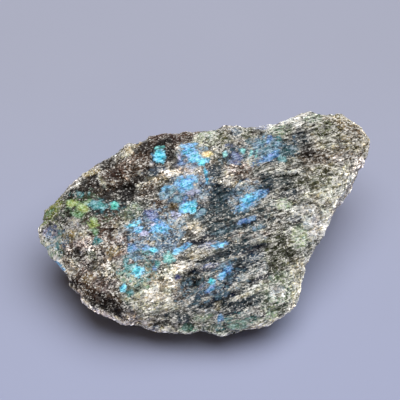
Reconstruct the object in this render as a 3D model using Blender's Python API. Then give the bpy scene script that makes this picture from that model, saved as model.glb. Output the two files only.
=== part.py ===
"""A rough chunk of labradorite: one broken stone that lies on a flat fracture face.

The stone starts as a cage of rings round its broad upper face. Fracture planes
break the cage's sides, and a fine skin over it then takes the relief: hollows,
lumps, blocky grains and the ledges of two cleavages. Lengths below are in
millimetres and angles in degrees. The finished mesh is in metres, +Z up.
"""
import math

import bmesh
import bpy
from mathutils import Matrix, Vector, noise

NAME = "labradorite_chunk"
MM = 0.001

# Overall size and the lie of the broad face
LENGTH = 90.0
FACE_TILT = 18.0
FACE_HEIGHT = 20.5
TRIANGLES = 9600

# The stone's outline as it looks from SIGHT degrees above the horizon, clockwise
# from the left tip: right, up, and how far the rounded rim lies under the face
SIGHT = 50.0
OUTLINE = (
    (-45.0, -1.4, 2.5), (-43.0, 2.8, 2.5), (-39.0, 5.6, 2.0), (-35.0, 10.1, 2.0),
    (-31.3, 13.4, 2.0), (-27.3, 15.4, 2.0), (-23.0, 17.9, 2.0), (-19.0, 20.4, 2.0),
    (-13.5, 23.6, 1.5), (-7.3, 24.0, 1.5), (-3.2, 23.9, 1.5), (1.1, 24.7, 1.5),
    (6.5, 25.8, 1.5), (11.6, 25.2, 1.5), (18.6, 26.7, 1.5), (21.9, 27.7, 1.5),
    (28.6, 29.8, 2.0), (32.7, 28.9, 2.0), (36.7, 29.4, 2.5), (40.5, 27.8, 3.0),
    (44.3, 24.6, 3.5), (45.0, 21.3, 3.5), (43.0, 15.4, 3.0), (40.0, 10.5, 2.5),
    (35.6, 4.6, 2.0), (33.5, 0.3, 2.0), (31.3, -4.6, 2.0), (28.6, -10.8, 2.0),
    (27.3, -15.7, 2.0), (26.2, -20.8, 2.0), (23.5, -24.3, 2.0), (17.3, -27.5, 2.0),
    (11.6, -29.2, 1.5), (4.9, -30.4, 1.5), (-0.5, -28.8, 1.0), (-3.8, -29.4, 1.0),
    (-11.3, -29.4, 1.5), (-15.7, -27.9, 1.5), (-22.1, -27.1, 2.0), (-25.7, -25.2, 2.0),
    (-30.8, -23.2, 2.5), (-34.2, -18.2, 2.5), (-39.0, -12.7, 2.5), (-42.0, -8.6, 2.5),
    (-43.9, -4.6, 2.5),
)
FACE_CENTRE = (2.0, 0.0)
# Rings inside the rim: share of the way out from the centre, share of the rim's drop
FACE_RINGS = ((0.95, 0.5), (0.86, 0.1), (0.72, 0.0), (0.55, 0.0), (0.28, 0.0))

# Slopes that bend the broad face down towards its edges: bearing on the face,
# distance from its middle at which the slope starts, and fall per millimetre
SLOPES = (
    (115.0, 20.0, 0.42), (187.0, 30.0, 0.40), (222.0, 30.0, 0.35), (268.0, 21.0, 0.32),
    (338.0, 19.0, 0.30), (20.0, 33.0, 0.25), (92.0, 20.0, 0.22),
)

# Sides: how far the waist and the base lie inside the rim at the back, front and tips
WAIST_INSET = (-1.0, 4.0, 5.0)
WAIST_HEIGHT = 0.55
BASE_INSET = (5.0, 8.0, 16.0)

# Fracture planes: azimuth and elevation of the outward direction, and how much
# the plane takes off the cage's outermost point in that direction
FRACTURES = (
    (96.0, -14.0, 2.4), (58.0, -22.0, 2.6), (132.0, -20.0, 1.8), (112.0, -46.0, 4.5),
    (70.0, -50.0, 4.5), (24.0, -48.0, 3.5), (152.0, -50.0, 4.0), (196.0, -52.0, 3.0),
    (352.0, -56.0, 2.5), (232.0, -58.0, 1.5), (300.0, -60.0, 1.2),
)
SKIN = 0.7

# Hollows and knobs on the broad face: along, across, radius, depth (a knob is negative)
HOLLOWS = (
    (-3.0, -16.5, 5.0, 3.2), (-6.0, 3.0, 9.0, 1.4), (-24.0, 9.5, 7.0, 1.2),
    (16.0, -6.0, 9.0, 0.9), (26.0, 20.0, 10.0, 1.0), (-28.0, -12.0, 8.0, 0.9),
    (4.0, 11.0, 6.0, -0.9), (-13.0, -21.0, 8.0, -1.1), (-18.0, 20.0, 8.0, -0.8),
    (30.0, 3.0, 7.0, -0.8), (-33.0, 1.0, 6.0, -0.9), (-14.0, -6.0, 6.0, -0.8),
)
LUMP_SIZE = 17.0
LUMP_HEIGHT = 1.0
# Blocky grains, coarse and fine: size of a grain and slope of its facet
GRAINS = ((11.0, 0.06), (4.5, 0.16))
GRAIN_SHARE = (1.0, 0.45)

# Cleavage: the ledges run along a line on the broad face, and their flats are
# steeper than the face. The second cleavage stands square to the first.
LEDGE_LINE = 22.0
LEDGE_DIP = 20.0
LEDGE_STEP = 1.15
CROSS_STEP = 1.9
LEDGE_FLATNESS = 0.15
LEDGE_RISER = 0.22
# Ledges wander along their length, vary in height and die out in places
LEDGE_WAVE = 0.7
LEDGE_VARIETY = 0.7
LEDGE_PATCH = 11.0
# The ledges are strongest on one side of a line across the face: the line's
# outward direction, and where the ledges fade in along it
LEDGE_SIDE = (0.88, -0.47)
LEDGE_FADE = (-8.0, 8.0)
LEDGE_SHARE = (0.2, 0.85)
CROSS_SHARE = 0.35
FOOT_FADE = (1.0, 4.0)
BASE_CUT = 0.25

STONE_COLOUR = (0.22, 0.23, 0.23, 1.0)
STONE_ROUGHNESS = 0.42


def clear_scene():
    """Remove every object of the scene the script starts in."""
    for item in list(bpy.data.objects):
        bpy.data.objects.remove(item, do_unlink=True)


def face_frame():
    """The broad face's frame: X along the stone, Y across it, Z out of the face."""
    return Matrix.Translation((0.0, 0.0, FACE_HEIGHT)) @ Matrix.Rotation(math.radians(FACE_TILT), 4, "X")


def fade(low, high, value):
    """Smooth step from 0 at low to 1 at high."""
    share = min(max((value - low) / (high - low), 0.0), 1.0)
    return share * share * (3.0 - 2.0 * share)


def slope_drop(along, across):
    """How far the slopes bring the broad face down at a place on it."""
    drop = 0.0
    for bearing, start, fall in SLOPES:
        turn = math.radians(bearing)
        reach = along * math.cos(turn) + across * math.sin(turn) - start
        drop = max(drop, reach * fall)
    return drop


def rim_points():
    """The rim in the face's frame. Each point keeps its place in the outline."""
    lean = math.radians(90.0 - SIGHT - FACE_TILT)
    rim = []
    for right, up, edge_drop in OUTLINE:
        across = up / math.cos(lean)
        for _ in range(8):
            drop = edge_drop + slope_drop(right, across)
            across = (up + drop * math.sin(lean)) / math.cos(lean)
        rim.append((Vector((right, across, 0.0)), edge_drop))
    return rim


def sided(outward, values):
    """Blend a back, a front and a tip value by which way a side looks."""
    back, front, tip = values
    across = back if outward.y > 0.0 else front
    share = outward.x * outward.x
    return across * (1.0 - share) + tip * share


def cage_rings(frame):
    """The cage's rings from the top of the face down to the base, as lists of points."""
    centre = Vector((FACE_CENTRE[0], FACE_CENTRE[1], 0.0))
    rim = rim_points()
    rings = []
    for share_out, share_drop in reversed(((1.0, 1.0),) + FACE_RINGS):
        ring = []
        for point, edge_drop in rim:
            spot = centre.lerp(point, share_out)
            spot.z = -edge_drop * share_drop - slope_drop(spot.x, spot.y)
            ring.append(frame @ spot)
        rings.append(ring)
    waist = []
    base = []
    for point in rings[-1]:
        outward = Vector((point.x, point.y, 0.0)).normalized()
        low = point - outward * sided(outward, WAIST_INSET)
        low.z = point.z * WAIST_HEIGHT
        waist.append(low)
        foot = point - outward * sided(outward, BASE_INSET)
        foot.z = 0.0
        base.append(foot)
    return rings + [waist, base]


def cage(frame):
    """The closed cage: rings joined by quads, closed by a fan above and one face below."""
    body = bmesh.new()
    rings = [[body.verts.new(point) for point in ring] for ring in cage_rings(frame)]
    count = len(OUTLINE)
    top = body.verts.new(frame @ Vector((FACE_CENTRE[0], FACE_CENTRE[1], 0.0)))
    for k in range(count):
        body.faces.new((top, rings[0][k], rings[0][(k + 1) % count]))
    for upper, lower in zip(rings, rings[1:]):
        for k in range(count):
            after = (k + 1) % count
            body.faces.new((upper[k], lower[k], lower[after], upper[after]))
    body.faces.new(rings[-1])
    bmesh.ops.recalc_face_normals(body, faces=body.faces)
    return body


def direction(azimuth, elevation):
    """Unit vector of an azimuth, counted from +X, and an elevation."""
    turn = math.radians(azimuth)
    rise = math.radians(elevation)
    return Vector((math.cos(turn) * math.cos(rise), math.sin(turn) * math.cos(rise), math.sin(rise)))


def break_off(body, outward, bite):
    """Break the body at a plane that takes a bite off it, and close the break flat."""
    reach = max(vertex.co.dot(outward) for vertex in body.verts)
    geometry = list(body.verts) + list(body.edges) + list(body.faces)
    cut = bmesh.ops.bisect_plane(body, geom=geometry, dist=1e-5, plane_no=outward,
                                 plane_co=outward * (reach - bite), clear_outer=True)
    edges = [item for item in cut["geom_cut"] if isinstance(item, bmesh.types.BMEdge)]
    bmesh.ops.edgeloop_fill(body, edges=edges)
    bmesh.ops.recalc_face_normals(body, faces=body.faces)


def evaluated_mesh(stone):
    """The stone's mesh with its modifiers applied."""
    graph = bpy.context.evaluated_depsgraph_get()
    mesh = bpy.data.meshes.new_from_object(stone.evaluated_get(graph))
    stone.modifiers.clear()
    return mesh


def grain_height(point, size, slope):
    """Height of blocky grains: each cell is a flat facet that leans its own way."""
    distances, centres = noise.voronoi(point / size)
    lean = noise.cell_vector(centres[0] * 7.3) - Vector((0.5, 0.5, 0.5))
    offset = point / size - centres[0]
    return size * slope * (2.0 * lean.dot(offset) + 0.25 * lean.x)


def hollow_depth(spot):
    """Depth of the hollows at a point in the face's frame."""
    depth = 0.0
    for along, across, radius, deep in HOLLOWS:
        reach = math.hypot(spot.x - along, spot.y - across) / radius
        depth += deep * (1.0 - fade(0.0, 1.0, reach)) * fade(-14.0, -6.0, spot.z)
    return depth


def ledge(level, step):
    """A staircase of a level: long flats with a short steep riser between them."""
    whole = math.floor(level / step)
    share = level / step - whole
    if share < 1.0 - LEDGE_RISER:
        return (whole + share * LEDGE_FLATNESS) * step
    start = (1.0 - LEDGE_RISER) * LEDGE_FLATNESS
    rise = (share - 1.0 + LEDGE_RISER) / LEDGE_RISER
    return (whole + start + (1.0 - start) * rise) * step


def zoned(spot, shares):
    """Blend from the grainy side's value to the ledged side's at a point in the face's frame."""
    side = spot.x * LEDGE_SIDE[0] + spot.y * LEDGE_SIDE[1]
    return shares[0] + (shares[1] - shares[0]) * fade(LEDGE_FADE[0], LEDGE_FADE[1], side)


def cleavage_directions(frame):
    """Outward directions of the two cleavages, both square to the ledge line."""
    line = math.radians(LEDGE_LINE)
    dip = math.radians(LEDGE_DIP)
    turn = frame.to_3x3()
    along = turn @ Vector((math.cos(line), math.sin(line), 0.0))
    flat = turn @ Vector((math.sin(dip) * math.sin(line), -math.sin(dip) * math.cos(line), math.cos(dip)))
    return flat, along.cross(flat)


def roughen(mesh, frame):
    """Give the skin its relief. The foot stays flat."""
    to_face = frame.inverted()
    flat, cross = cleavage_directions(frame)
    normals = [vertex.normal.copy() for vertex in mesh.vertices]
    for vertex, normal in zip(mesh.vertices, normals):
        point = vertex.co.copy()
        free = fade(FOOT_FADE[0], FOOT_FADE[1], point.z)
        spot = to_face @ point
        height = LUMP_HEIGHT * noise.noise(point / LUMP_SIZE) - hollow_depth(spot)
        for size, slope in GRAINS:
            height += grain_height(point, size, slope) * zoned(spot, GRAIN_SHARE)
        point += normal * height * free
        patch = 0.75 + 0.9 * noise.noise(point / LEDGE_PATCH)
        share = min(zoned(spot, LEDGE_SHARE) * patch, 1.0) * free
        for way, step, part in ((flat, LEDGE_STEP, share), (cross, CROSS_STEP, share * CROSS_SHARE)):
            level = point.dot(way) + LEDGE_WAVE * noise.noise(point / LUMP_SIZE + way * 9.0)
            level += LEDGE_VARIETY * noise.noise(way * level / (2.5 * step))
            point += way * (ledge(level, step) - level) * part
        vertex.co = point


def settle(mesh):
    """Scale the stone to its length and put its origin under the middle of its box."""
    corners = [[function(vertex.co[axis] for vertex in mesh.vertices) for axis in range(3)]
               for function in (min, max)]
    low, high = (Vector(corner) for corner in corners)
    scale = LENGTH / (high.x - low.x)
    middle = (low + high) / 2.0
    origin = Vector((middle.x, middle.y, low.z))
    mesh.transform(Matrix.Scale(scale * MM, 4) @ Matrix.Translation(-origin))


def stone_material():
    """Grey-green feldspar rock with a waxy shine."""
    material = bpy.data.materials.new("labradorite")
    material.use_nodes = True
    shader = material.node_tree.nodes["Principled BSDF"]
    shader.inputs["Base Color"].default_value = STONE_COLOUR
    shader.inputs["Roughness"].default_value = STONE_ROUGHNESS
    shader.inputs["Metallic"].default_value = 0.0
    return material


def build():
    """Make the stone and return its object."""
    clear_scene()
    frame = face_frame()
    body = cage(frame)
    for azimuth, elevation, bite in FRACTURES:
        break_off(body, direction(azimuth, elevation), bite)
    mesh = bpy.data.meshes.new(NAME)
    body.to_mesh(mesh)
    body.free()
    stone = bpy.data.objects.new(NAME, mesh)
    bpy.context.collection.objects.link(stone)

    skin = stone.modifiers.new("skin", "REMESH")
    skin.mode = "VOXEL"
    skin.voxel_size = SKIN
    stone.data = evaluated_mesh(stone)
    roughen(stone.data, frame)

    thin = stone.modifiers.new("thin", "DECIMATE")
    triangles = sum(len(face.vertices) - 2 for face in stone.data.polygons)
    thin.ratio = TRIANGLES / triangles
    thin.use_collapse_triangulate = True
    stone.data = evaluated_mesh(stone)

    body = bmesh.new()
    body.from_mesh(stone.data)
    break_off(body, Vector((0.0, 0.0, -1.0)), BASE_CUT)
    body.to_mesh(stone.data)
    body.free()
    settle(stone.data)
    stone.data.name = NAME
    stone.data.materials.append(stone_material())
    return stone


build()
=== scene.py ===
# %% [markdown]
# # A rough chunk of labradorite
#
# Labradorite is a feldspar. A broken lump of it is grey-green and dull at first sight, and
# then whole grains light up in blue, cyan, green or gold where their inner layers face the
# eye. This lesson dresses a plain model of such a stone. It gives the solid a finely broken
# skin, lays out its minerals and its colour flashes from given lists, and builds one material
# that turns those layouts into crystal grains, cleavage lines and sheen.

# %% Load the plain model
import math

import bmesh
import bpy
import numpy as np
from mathutils import Matrix, Vector, noise


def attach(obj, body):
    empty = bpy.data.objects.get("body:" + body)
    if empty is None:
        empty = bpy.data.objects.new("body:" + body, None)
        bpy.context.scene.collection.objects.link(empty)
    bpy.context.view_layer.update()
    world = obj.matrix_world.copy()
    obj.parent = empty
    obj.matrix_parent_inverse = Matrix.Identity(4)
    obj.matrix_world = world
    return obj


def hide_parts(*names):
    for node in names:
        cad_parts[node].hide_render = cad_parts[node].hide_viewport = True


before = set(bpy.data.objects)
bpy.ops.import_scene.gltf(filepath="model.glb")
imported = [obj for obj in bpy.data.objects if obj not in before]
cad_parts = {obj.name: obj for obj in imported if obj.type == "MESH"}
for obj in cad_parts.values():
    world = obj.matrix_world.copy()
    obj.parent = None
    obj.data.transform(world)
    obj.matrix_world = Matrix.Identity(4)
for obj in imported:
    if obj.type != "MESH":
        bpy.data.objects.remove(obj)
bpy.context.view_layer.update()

MM = 0.001
STONE_NODE = "labradorite_chunk"

# %% [markdown]
# ## The camera
#
# The stone is looked down on from half-way up, through a long lens, so that its far edge is
# hardly smaller than its near one. A camera that sits at a distance and an elevation from
# the point it aims at is easier to reason about than one placed by its coordinates.

# %% Place the camera
SIGHT_ELEVATION = 50.0
CAMERA_DISTANCE = 700 * MM
CAMERA_AIM = Vector((-1.4, 5.8, 18.4)) * MM
CAMERA_LENS = 235.4
CAMERA_NEAREST = 10 * MM


def sight_axes(azimuth, elevation):
    """Right, up and towards-the-viewer directions of a line of sight, in degrees."""
    turn, rise = math.radians(azimuth), math.radians(elevation)
    right = Vector((math.cos(turn), math.sin(turn), 0.0))
    level = Vector((math.sin(turn), -math.cos(turn), 0.0))
    towards = level * math.cos(rise) + Vector((0.0, 0.0, math.sin(rise)))
    return right, towards.cross(right), towards


lens = bpy.data.cameras.new("camera")
lens.lens = CAMERA_LENS
lens.clip_start = CAMERA_NEAREST
camera = bpy.data.objects.new("camera", lens)
camera.location = CAMERA_AIM + sight_axes(0, SIGHT_ELEVATION)[2] * CAMERA_DISTANCE
camera.rotation_euler = (math.radians(90.0 - SIGHT_ELEVATION), 0.0, 0.0)
bpy.context.scene.collection.objects.link(camera)
bpy.context.scene.camera = camera
print("camera at", [round(v, 3) for v in camera.location])

# %% [markdown]
# ## The light
#
# Broad light comes from above and a little behind, as from a large diffuser. Broken edges
# that lean back catch it and turn bright, ledges that lean to the viewer stay deep, and the
# shadow gathers close under the near edge. A sun lamp with a very wide disc does this with
# even light on the whole floor. The surround adds a weak warm fill, and where the eye looks
# past the floor it sees a pale card.

# %% Hang the lamp and set the surround
LAMP_FROM = Vector((0.22, 0.20, 0.92))
LAMP_SPREAD = 74.0
LAMP_STRENGTH = 2.85
LAMP_COLOUR = (0.95, 0.98, 1.0)
FILL = (1.0, 0.76, 0.44, 1.0)
FILL_STRENGTH = 0.14
CARD_SEEN = (0.42, 0.44, 0.57, 1.0)

lamp_data = bpy.data.lights.new("diffuser", "SUN")
lamp_data.angle = math.radians(LAMP_SPREAD)
lamp_data.energy = LAMP_STRENGTH
lamp_data.color = LAMP_COLOUR
lamp = bpy.data.objects.new("diffuser", lamp_data)
lamp.rotation_euler = LAMP_FROM.to_track_quat("Z", "Y").to_euler()
bpy.context.scene.collection.objects.link(lamp)

world = bpy.data.worlds.new("surround")
world.use_nodes = True
sky = world.node_tree
fill = sky.nodes["Background"]
fill.inputs["Color"].default_value = FILL
fill.inputs["Strength"].default_value = FILL_STRENGTH
card = sky.nodes.new("ShaderNodeBackground")
card.inputs["Color"].default_value = CARD_SEEN
chosen = sky.nodes.new("ShaderNodeMixShader")
sky.links.new(sky.nodes.new("ShaderNodeLightPath").outputs["Is Camera Ray"], chosen.inputs[0])
sky.links.new(fill.outputs[0], chosen.inputs[1])
sky.links.new(card.outputs[0], chosen.inputs[2])
sky.links.new(chosen.outputs[0], sky.nodes["World Output"].inputs["Surface"])
bpy.context.scene.world = world
bpy.context.scene.view_settings.view_transform = "Standard"
print("lamp", LAMP_STRENGTH, "over", LAMP_SPREAD, "degrees, fill", FILL_STRENGTH)

# %% [markdown]
# ## Small helpers for node trees
#
# Geometry trees and shader trees use the same sums. These helpers add a node, feed its
# sockets with links or plain values, and hand back what it puts out, so that a tree reads
# like a few lines of arithmetic.

# %% Helpers for node trees
def add(tree, kind, **settings):
    """A new node in a tree, with its settings made."""
    made = tree.nodes.new(kind)
    for name, value in settings.items():
        setattr(made, name, value)
    return made


def feed(tree, socket, value):
    """Link a socket to another one, or set its plain value."""
    if isinstance(value, bpy.types.NodeSocket):
        tree.links.new(value, socket)
    else:
        socket.default_value = value


def feed_all(tree, sockets, values):
    """Feed several sockets in their order."""
    for socket, value in zip(sockets, values):
        feed(tree, socket, value)


def calc(tree, operation, *values):
    """What a Math node makes of some values."""
    made = add(tree, "ShaderNodeMath", operation=operation)
    feed_all(tree, made.inputs, values)
    return made.outputs[0]


def vector_calc(tree, operation, *values):
    """What a Vector Math node makes of some vectors."""
    made = add(tree, "ShaderNodeVectorMath", operation=operation)
    sockets = (made.inputs[0], made.inputs[3]) if operation == "SCALE" else made.inputs
    feed_all(tree, sockets, values)
    return made.outputs["Value" if operation == "DOT_PRODUCT" else "Vector"]


def sloped(tree, value, slope, start):
    """A value times a slope, plus a start."""
    return calc(tree, "MULTIPLY_ADD", value, slope, start)


def centred(tree, value, reach):
    """A value from 0 to 1 turned into one about 0, as wide as the reach."""
    return calc(tree, "MULTIPLY", calc(tree, "SUBTRACT", value, 0.5), reach)


def clamped(tree, value, low=0.0, high=1.0):
    """A value kept between two limits."""
    made = add(tree, "ShaderNodeClamp")
    feed_all(tree, made.inputs, (value, low, high))
    return made.outputs[0]


def ramp(tree, value, low, high, start=0.0, end=1.0):
    """A smooth rise from start to end while the value goes from low to high."""
    made = add(tree, "ShaderNodeMapRange", interpolation_type="SMOOTHSTEP")
    feed_all(tree, made.inputs, (value, low, high, start, end))
    return made.outputs[0]


def parts_of(tree, vector):
    """The three parts of a vector or of a colour."""
    made = add(tree, "ShaderNodeSeparateXYZ")
    feed(tree, made.inputs[0], vector)
    return made.outputs


def blend(tree, share, first, second):
    """Two colours mixed by a share of the second."""
    made = add(tree, "ShaderNodeMix", data_type="RGBA")
    feed_all(tree, (made.inputs[0], made.inputs[6], made.inputs[7]), (share, first, second))
    return made.outputs[2]


# %% Helpers for node patterns
def grains(tree, place, size):
    """A cell pattern: its scaled place, each cell's centre, its random colour."""
    scaled = vector_calc(tree, "SCALE", place, calc(tree, "DIVIDE", 1.0, size))
    cells = add(tree, "ShaderNodeTexVoronoi", voronoi_dimensions="3D", feature="F1")
    feed(tree, cells.inputs["Vector"], scaled)
    feed(tree, cells.inputs["Scale"], 1.0)
    return scaled, cells.outputs["Position"], cells.outputs["Color"]


def cloud_at(tree, place, size, detail=2.0):
    """Smooth noise with lumps of a size: its value about 0.5, and its colour."""
    lumps = add(tree, "ShaderNodeTexNoise", noise_dimensions="3D")
    feed(tree, lumps.inputs["Vector"], vector_calc(tree, "SCALE", place, calc(tree, "DIVIDE", 1.0, size)))
    feed(tree, lumps.inputs["Scale"], 1.0)
    feed(tree, lumps.inputs["Detail"], detail)
    return lumps.outputs[0], lumps.outputs[1]


def group_sockets(tree, inputs, outputs):
    """Give a tree named inputs and outputs, and hand back its two end nodes."""
    for name, kind, value in inputs:
        made = tree.interface.new_socket(name, in_out="INPUT", socket_type=kind)
        if value is not None:
            made.default_value = value
    for name, kind in outputs:
        tree.interface.new_socket(name, in_out="OUTPUT", socket_type=kind)
    return add(tree, "NodeGroupInput"), add(tree, "NodeGroupOutput")


# %% [markdown]
# ## The two cleavages
#
# Feldspar splits along two sets of flat planes that stand nearly square to each other. Both
# sets share one direction, the ledge line, so every small step on the stone runs the same
# way, on every side of it. The directions are worked out once here. The geometry uses them
# for its ledges and the material uses them for its fine lines.

# %% Cleavage directions
FACE_TILT = 18.0
LEDGE_LINE = 22.0
LEDGE_DIP = 20.0
LEDGE_SIDE = Vector((0.88, -0.47, 0.0))
FACE_MIDDLE = Vector((-0.8, -3.6, 20.6))
LEAN = Matrix.Rotation(math.radians(FACE_TILT), 3, "X")


def cleavage_directions():
    """The ledge line and the outward directions of the two cleavages."""
    line, dip = math.radians(LEDGE_LINE), math.radians(LEDGE_DIP)
    along = LEAN @ Vector((math.cos(line), math.sin(line), 0.0))
    downhill = Vector((math.sin(line), -math.cos(line), 0.0))
    flat = LEAN @ (downhill * math.sin(dip) + Vector((0.0, 0.0, math.cos(dip))))
    return along, flat, along.cross(flat)


ALONG, FLAT, CROSS = cleavage_directions()
print("ledge line", [round(v, 2) for v in ALONG], "main cleavage", [round(v, 2) for v in FLAT])

# %% [markdown]
# ## A fine skin
#
# The plain model has a few thousand facets, too few for crystal grains. A copy of it is
# welded, filled with small cubes and wrapped again, which gives an even net of points less
# than half a millimetre apart. Subdividing would keep the long thin facets, so the even net
# is the better start. A little smoothing takes the edges off the facets before new, finer
# breaks are cut.

# %% Wrap the stone in an even net
NET = 0.40 * MM
WELD = 1e-6
SMOOTHING = 0.5
SMOOTHING_ROUNDS = 4


def baked(piece):
    """The piece's mesh with its modifiers worked in, as a plain mesh."""
    graph = bpy.context.evaluated_depsgraph_get()
    mesh = bpy.data.meshes.new_from_object(piece.evaluated_get(graph))
    piece.modifiers.clear()
    return mesh


def even_net(node_name):
    """A piece with an even net of points over a copy of a node of the plain model."""
    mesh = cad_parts[node_name].data.copy()
    shell = bmesh.new()
    shell.from_mesh(mesh)
    bmesh.ops.remove_doubles(shell, verts=shell.verts, dist=WELD)
    shell.to_mesh(mesh)
    shell.free()
    mesh.materials.clear()
    piece = bpy.data.objects.new("labradorite_stone", mesh)
    bpy.context.scene.collection.objects.link(piece)
    net = piece.modifiers.new("net", "REMESH")
    net.mode = "VOXEL"
    net.voxel_size = NET
    ease = piece.modifiers.new("ease", "SMOOTH")
    ease.factor = SMOOTHING
    ease.iterations = SMOOTHING_ROUNDS
    piece.data = baked(piece)
    return piece


stone = even_net(STONE_NODE)
print("net:", len(stone.data.vertices), "points,", len(stone.data.polygons), "quads")

# %% Read the net into arrays
def read_vectors(collection, name):
    """A vector property of every element, as the rows of an array."""
    values = np.empty(len(collection) * 3, np.float32)
    collection.foreach_get(name, values)
    return values.reshape(-1, 3).astype(float)


def fade(low, high, values):
    """Smooth step from 0 at low to 1 at high."""
    share = np.clip((values - low) / (high - low), 0.0, 1.0)
    return share * share * (3.0 - 2.0 * share)


def cloud(size, shift):
    """Smooth noise at every point, about -1 to 1, with lumps of a size in mm."""
    place = Vector((shift, 0.0, -shift))
    return np.array([noise.noise(Vector(point) / size + place) for point in points])


points = read_vectors(stone.data.vertices, "co") / MM
normals = read_vectors(stone.data.vertices, "normal")

# %% [markdown]
# The plain model has few corners along its rim. A few nudges, each a soft push sideways around
# one place, bring the outline in where it is too full and out where a corner is missing. They
# never change a height, so the stone keeps its footing.

# %% Nudge the rim: right, up, reach, then the push to the right and to the back, all in mm
NUDGES = (
    (-38.5, 8.0, 11.0, 0.8, -1.4), (-22.5, 21.5, 9.0, 0.4, -1.2), (1.5, 26.0, 7.0, 0.0, -1.5),
    (20.0, 27.5, 9.0, 0.0, -1.3), (-24.5, -28.0, 9.0, 0.6, 1.7), (-13.5, -30.0, 10.0, 0.0, 1.6),
    (12.5, -29.5, 8.0, 0.0, 1.2), (20.5, -26.0, 7.0, -0.4, 1.2), (-40.5, -9.5, 6.0, -1.5, 0.4),
    (-44.5, -5.0, 5.0, -0.5, 0.0), (-44.8, 1.5, 3.4, 1.6, -0.6), (-38.5, 4.8, 4.0, -1.0, 0.6),
    (-31.8, 15.0, 5.0, 0.5, -0.9), (-17.8, -28.5, 4.0, 0.0, 0.9), (-14.5, 24.0, 4.0, 0.0, -0.9),
)
SIGHT_MIDDLE = (-0.3, 10.1)
sight_right, sight_up, sight_towards = (np.array(axis) for axis in sight_axes(0, SIGHT_ELEVATION))


def seen_places():
    """Where every point lies as seen along the line of sight, right and up, in mm."""
    return points @ sight_right - SIGHT_MIDDLE[0], points @ sight_up - SIGHT_MIDDLE[1]


seen_right, seen_up = seen_places()
pushes = np.zeros_like(points)
for right, up, reach, push_right, push_back in NUDGES:
    nearness = fade(reach, 0.0, np.hypot(seen_right - right, seen_up - up))
    pushes += nearness[:, None] * np.array((push_right, push_back, 0.0))
points += pushes
print("rim moved by up to", round(float(np.abs(pushes).max()), 2), "mm")

# %% Noise that makes borders wander
WANDER_LAYERS = ((0.40, 5.0, 3.0), (0.35, 2.0, 11.0), (0.30, 0.9, 23.0))
WANDER = sum(share * cloud(size, shift) for share, size, shift in WANDER_LAYERS)
print("surface noise from", round(WANDER.min(), 2), "to", round(WANDER.max(), 2))

# %% [markdown]
# ## What the stone is made of
#
# A palette names each mineral once: its colour as the eye sees it in soft light, and its
# grit, which says how strongly its grains differ from each other. Patches then say where
# each mineral shows. They are laid one over the other, broad grounds first, and noise makes
# their borders wander, so that no patch looks like the ellipse it starts from.

# %% Mineral palette
def seen(red, green, blue):
    """Linear colour for a colour as judged, 0 to 255."""
    return np.array([(v / 255.0) ** 2.2 for v in (red, green, blue)])


PALETTE = {
    "ash": (seen(138, 135, 129), 1.0), "clay": (seen(166, 148, 142), 1.1),
    "tan": (seen(162, 148, 124), 0.9), "bone": (seen(214, 206, 190), 0.7),
    "ochre": (seen(180, 164, 126), 0.8), "frost": (seen(230, 226, 226), 0.6),
    "sage": (seen(146, 158, 142), 0.8), "celadon": (seen(190, 200, 176), 0.5),
    "pistachio": (seen(140, 142, 66), 0.6), "olive": (seen(104, 104, 78), 0.9),
    "moss": (seen(56, 58, 40), 0.7), "pine": (seen(66, 106, 88), 0.8), "slate": (seen(46, 62, 74), 0.6),
    "steel": (seen(96, 112, 130), 0.7), "lilac": (seen(164, 164, 192), 0.6),
    "cream": (seen(248, 236, 222), 0.9), "umber": (seen(84, 64, 50), 1.0),
    "rust": (seen(72, 48, 40), 0.9), "mafic": (seen(30, 22, 21), 0.8), "night": (seen(20, 32, 54), 0.5),
}

# %% [markdown]
# Places are given in millimetres to the right of and above one point of the broad face, as
# the eye sees them along the line of sight, with half a length, half a width, a turn in
# degrees and a strength. Looking along a line of sight of their own, the same numbers would
# do for any other side.

# %% Broad grounds of the face
GROUNDS = (
    ("steel", -4.5, 9.5, 6.0, 9.0, 5, 0.5), ("lilac", -4.0, 12.0, 4.5, 6.0, 10, 0.5),
    ("steel", -13.5, -3.5, 8.5, 6.5, 20, 0.7), ("clay", -28.0, -8.0, 12.0, 10.0, 0, 0.8),
    ("umber", -28.5, -17.0, 9.0, 2.8, -32, 0.85), ("umber", -23.0, 12.0, 12.5, 5.0, 30, 0.9),
    ("umber", -12.0, 20.5, 9.5, 2.6, 14, 0.9), ("tan", 37.0, 20.0, 9.5, 11.0, -50, 0.8),
    ("bone", 34.0, 8.0, 11.0, 5.5, 45, 0.8), ("ash", 22.0, 4.0, 9.0, 4.0, 15, 0.7),
    ("frost", 27.0, -2.0, 5.5, 3.2, 20, 0.7), ("slate", 5.5, 3.0, 9.5, 6.0, 30, 0.7),
    ("slate", 6.5, -8.5, 11.0, 6.5, 15, 0.8), ("slate", 3.5, -21.0, 11.0, 5.0, 15, 0.7),
    ("olive", 20.0, -7.0, 6.0, 7.0, 60, 0.8), ("sage", 20.0, -18.0, 6.5, 5.5, 30, 0.85),
    ("bone", 26.0, -16.0, 3.5, 7.0, -10, 0.8), ("sage", 8.0, -26.5, 9.0, 2.5, 8, 0.6),
    # The celadon at the far left tip is partly a real pale green and partly painted light on a tip that
    # turns away from the lamp.
    ("bone", -12.0, -19.0, 8.5, 5.0, 5, 0.8), ("celadon", -18.0, -17.0, 4.5, 5.0, 20, 0.4),
    ("cream", -11.5, -17.5, 5.0, 2.6, 15, 0.5), ("celadon", -41.0, -6.0, 2.4, 7.5, -22, 0.7),
    ("bone", -36.0, -14.5, 6.0, 2.0, -38, 0.7), ("celadon", 0.0, 22.5, 6.0, 2.5, 5, 0.6),
    ("steel", 17.4, 20.0, 5.4, 3.4, 15, 0.8), ("slate", 19.5, 18.5, 5.0, 2.8, 20, 0.8),
    ("slate", 8.0, 18.5, 3.6, 2.8, 0, 0.8), ("slate", 16.5, 11.0, 4.0, 3.2, 10, 0.7),
)

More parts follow.
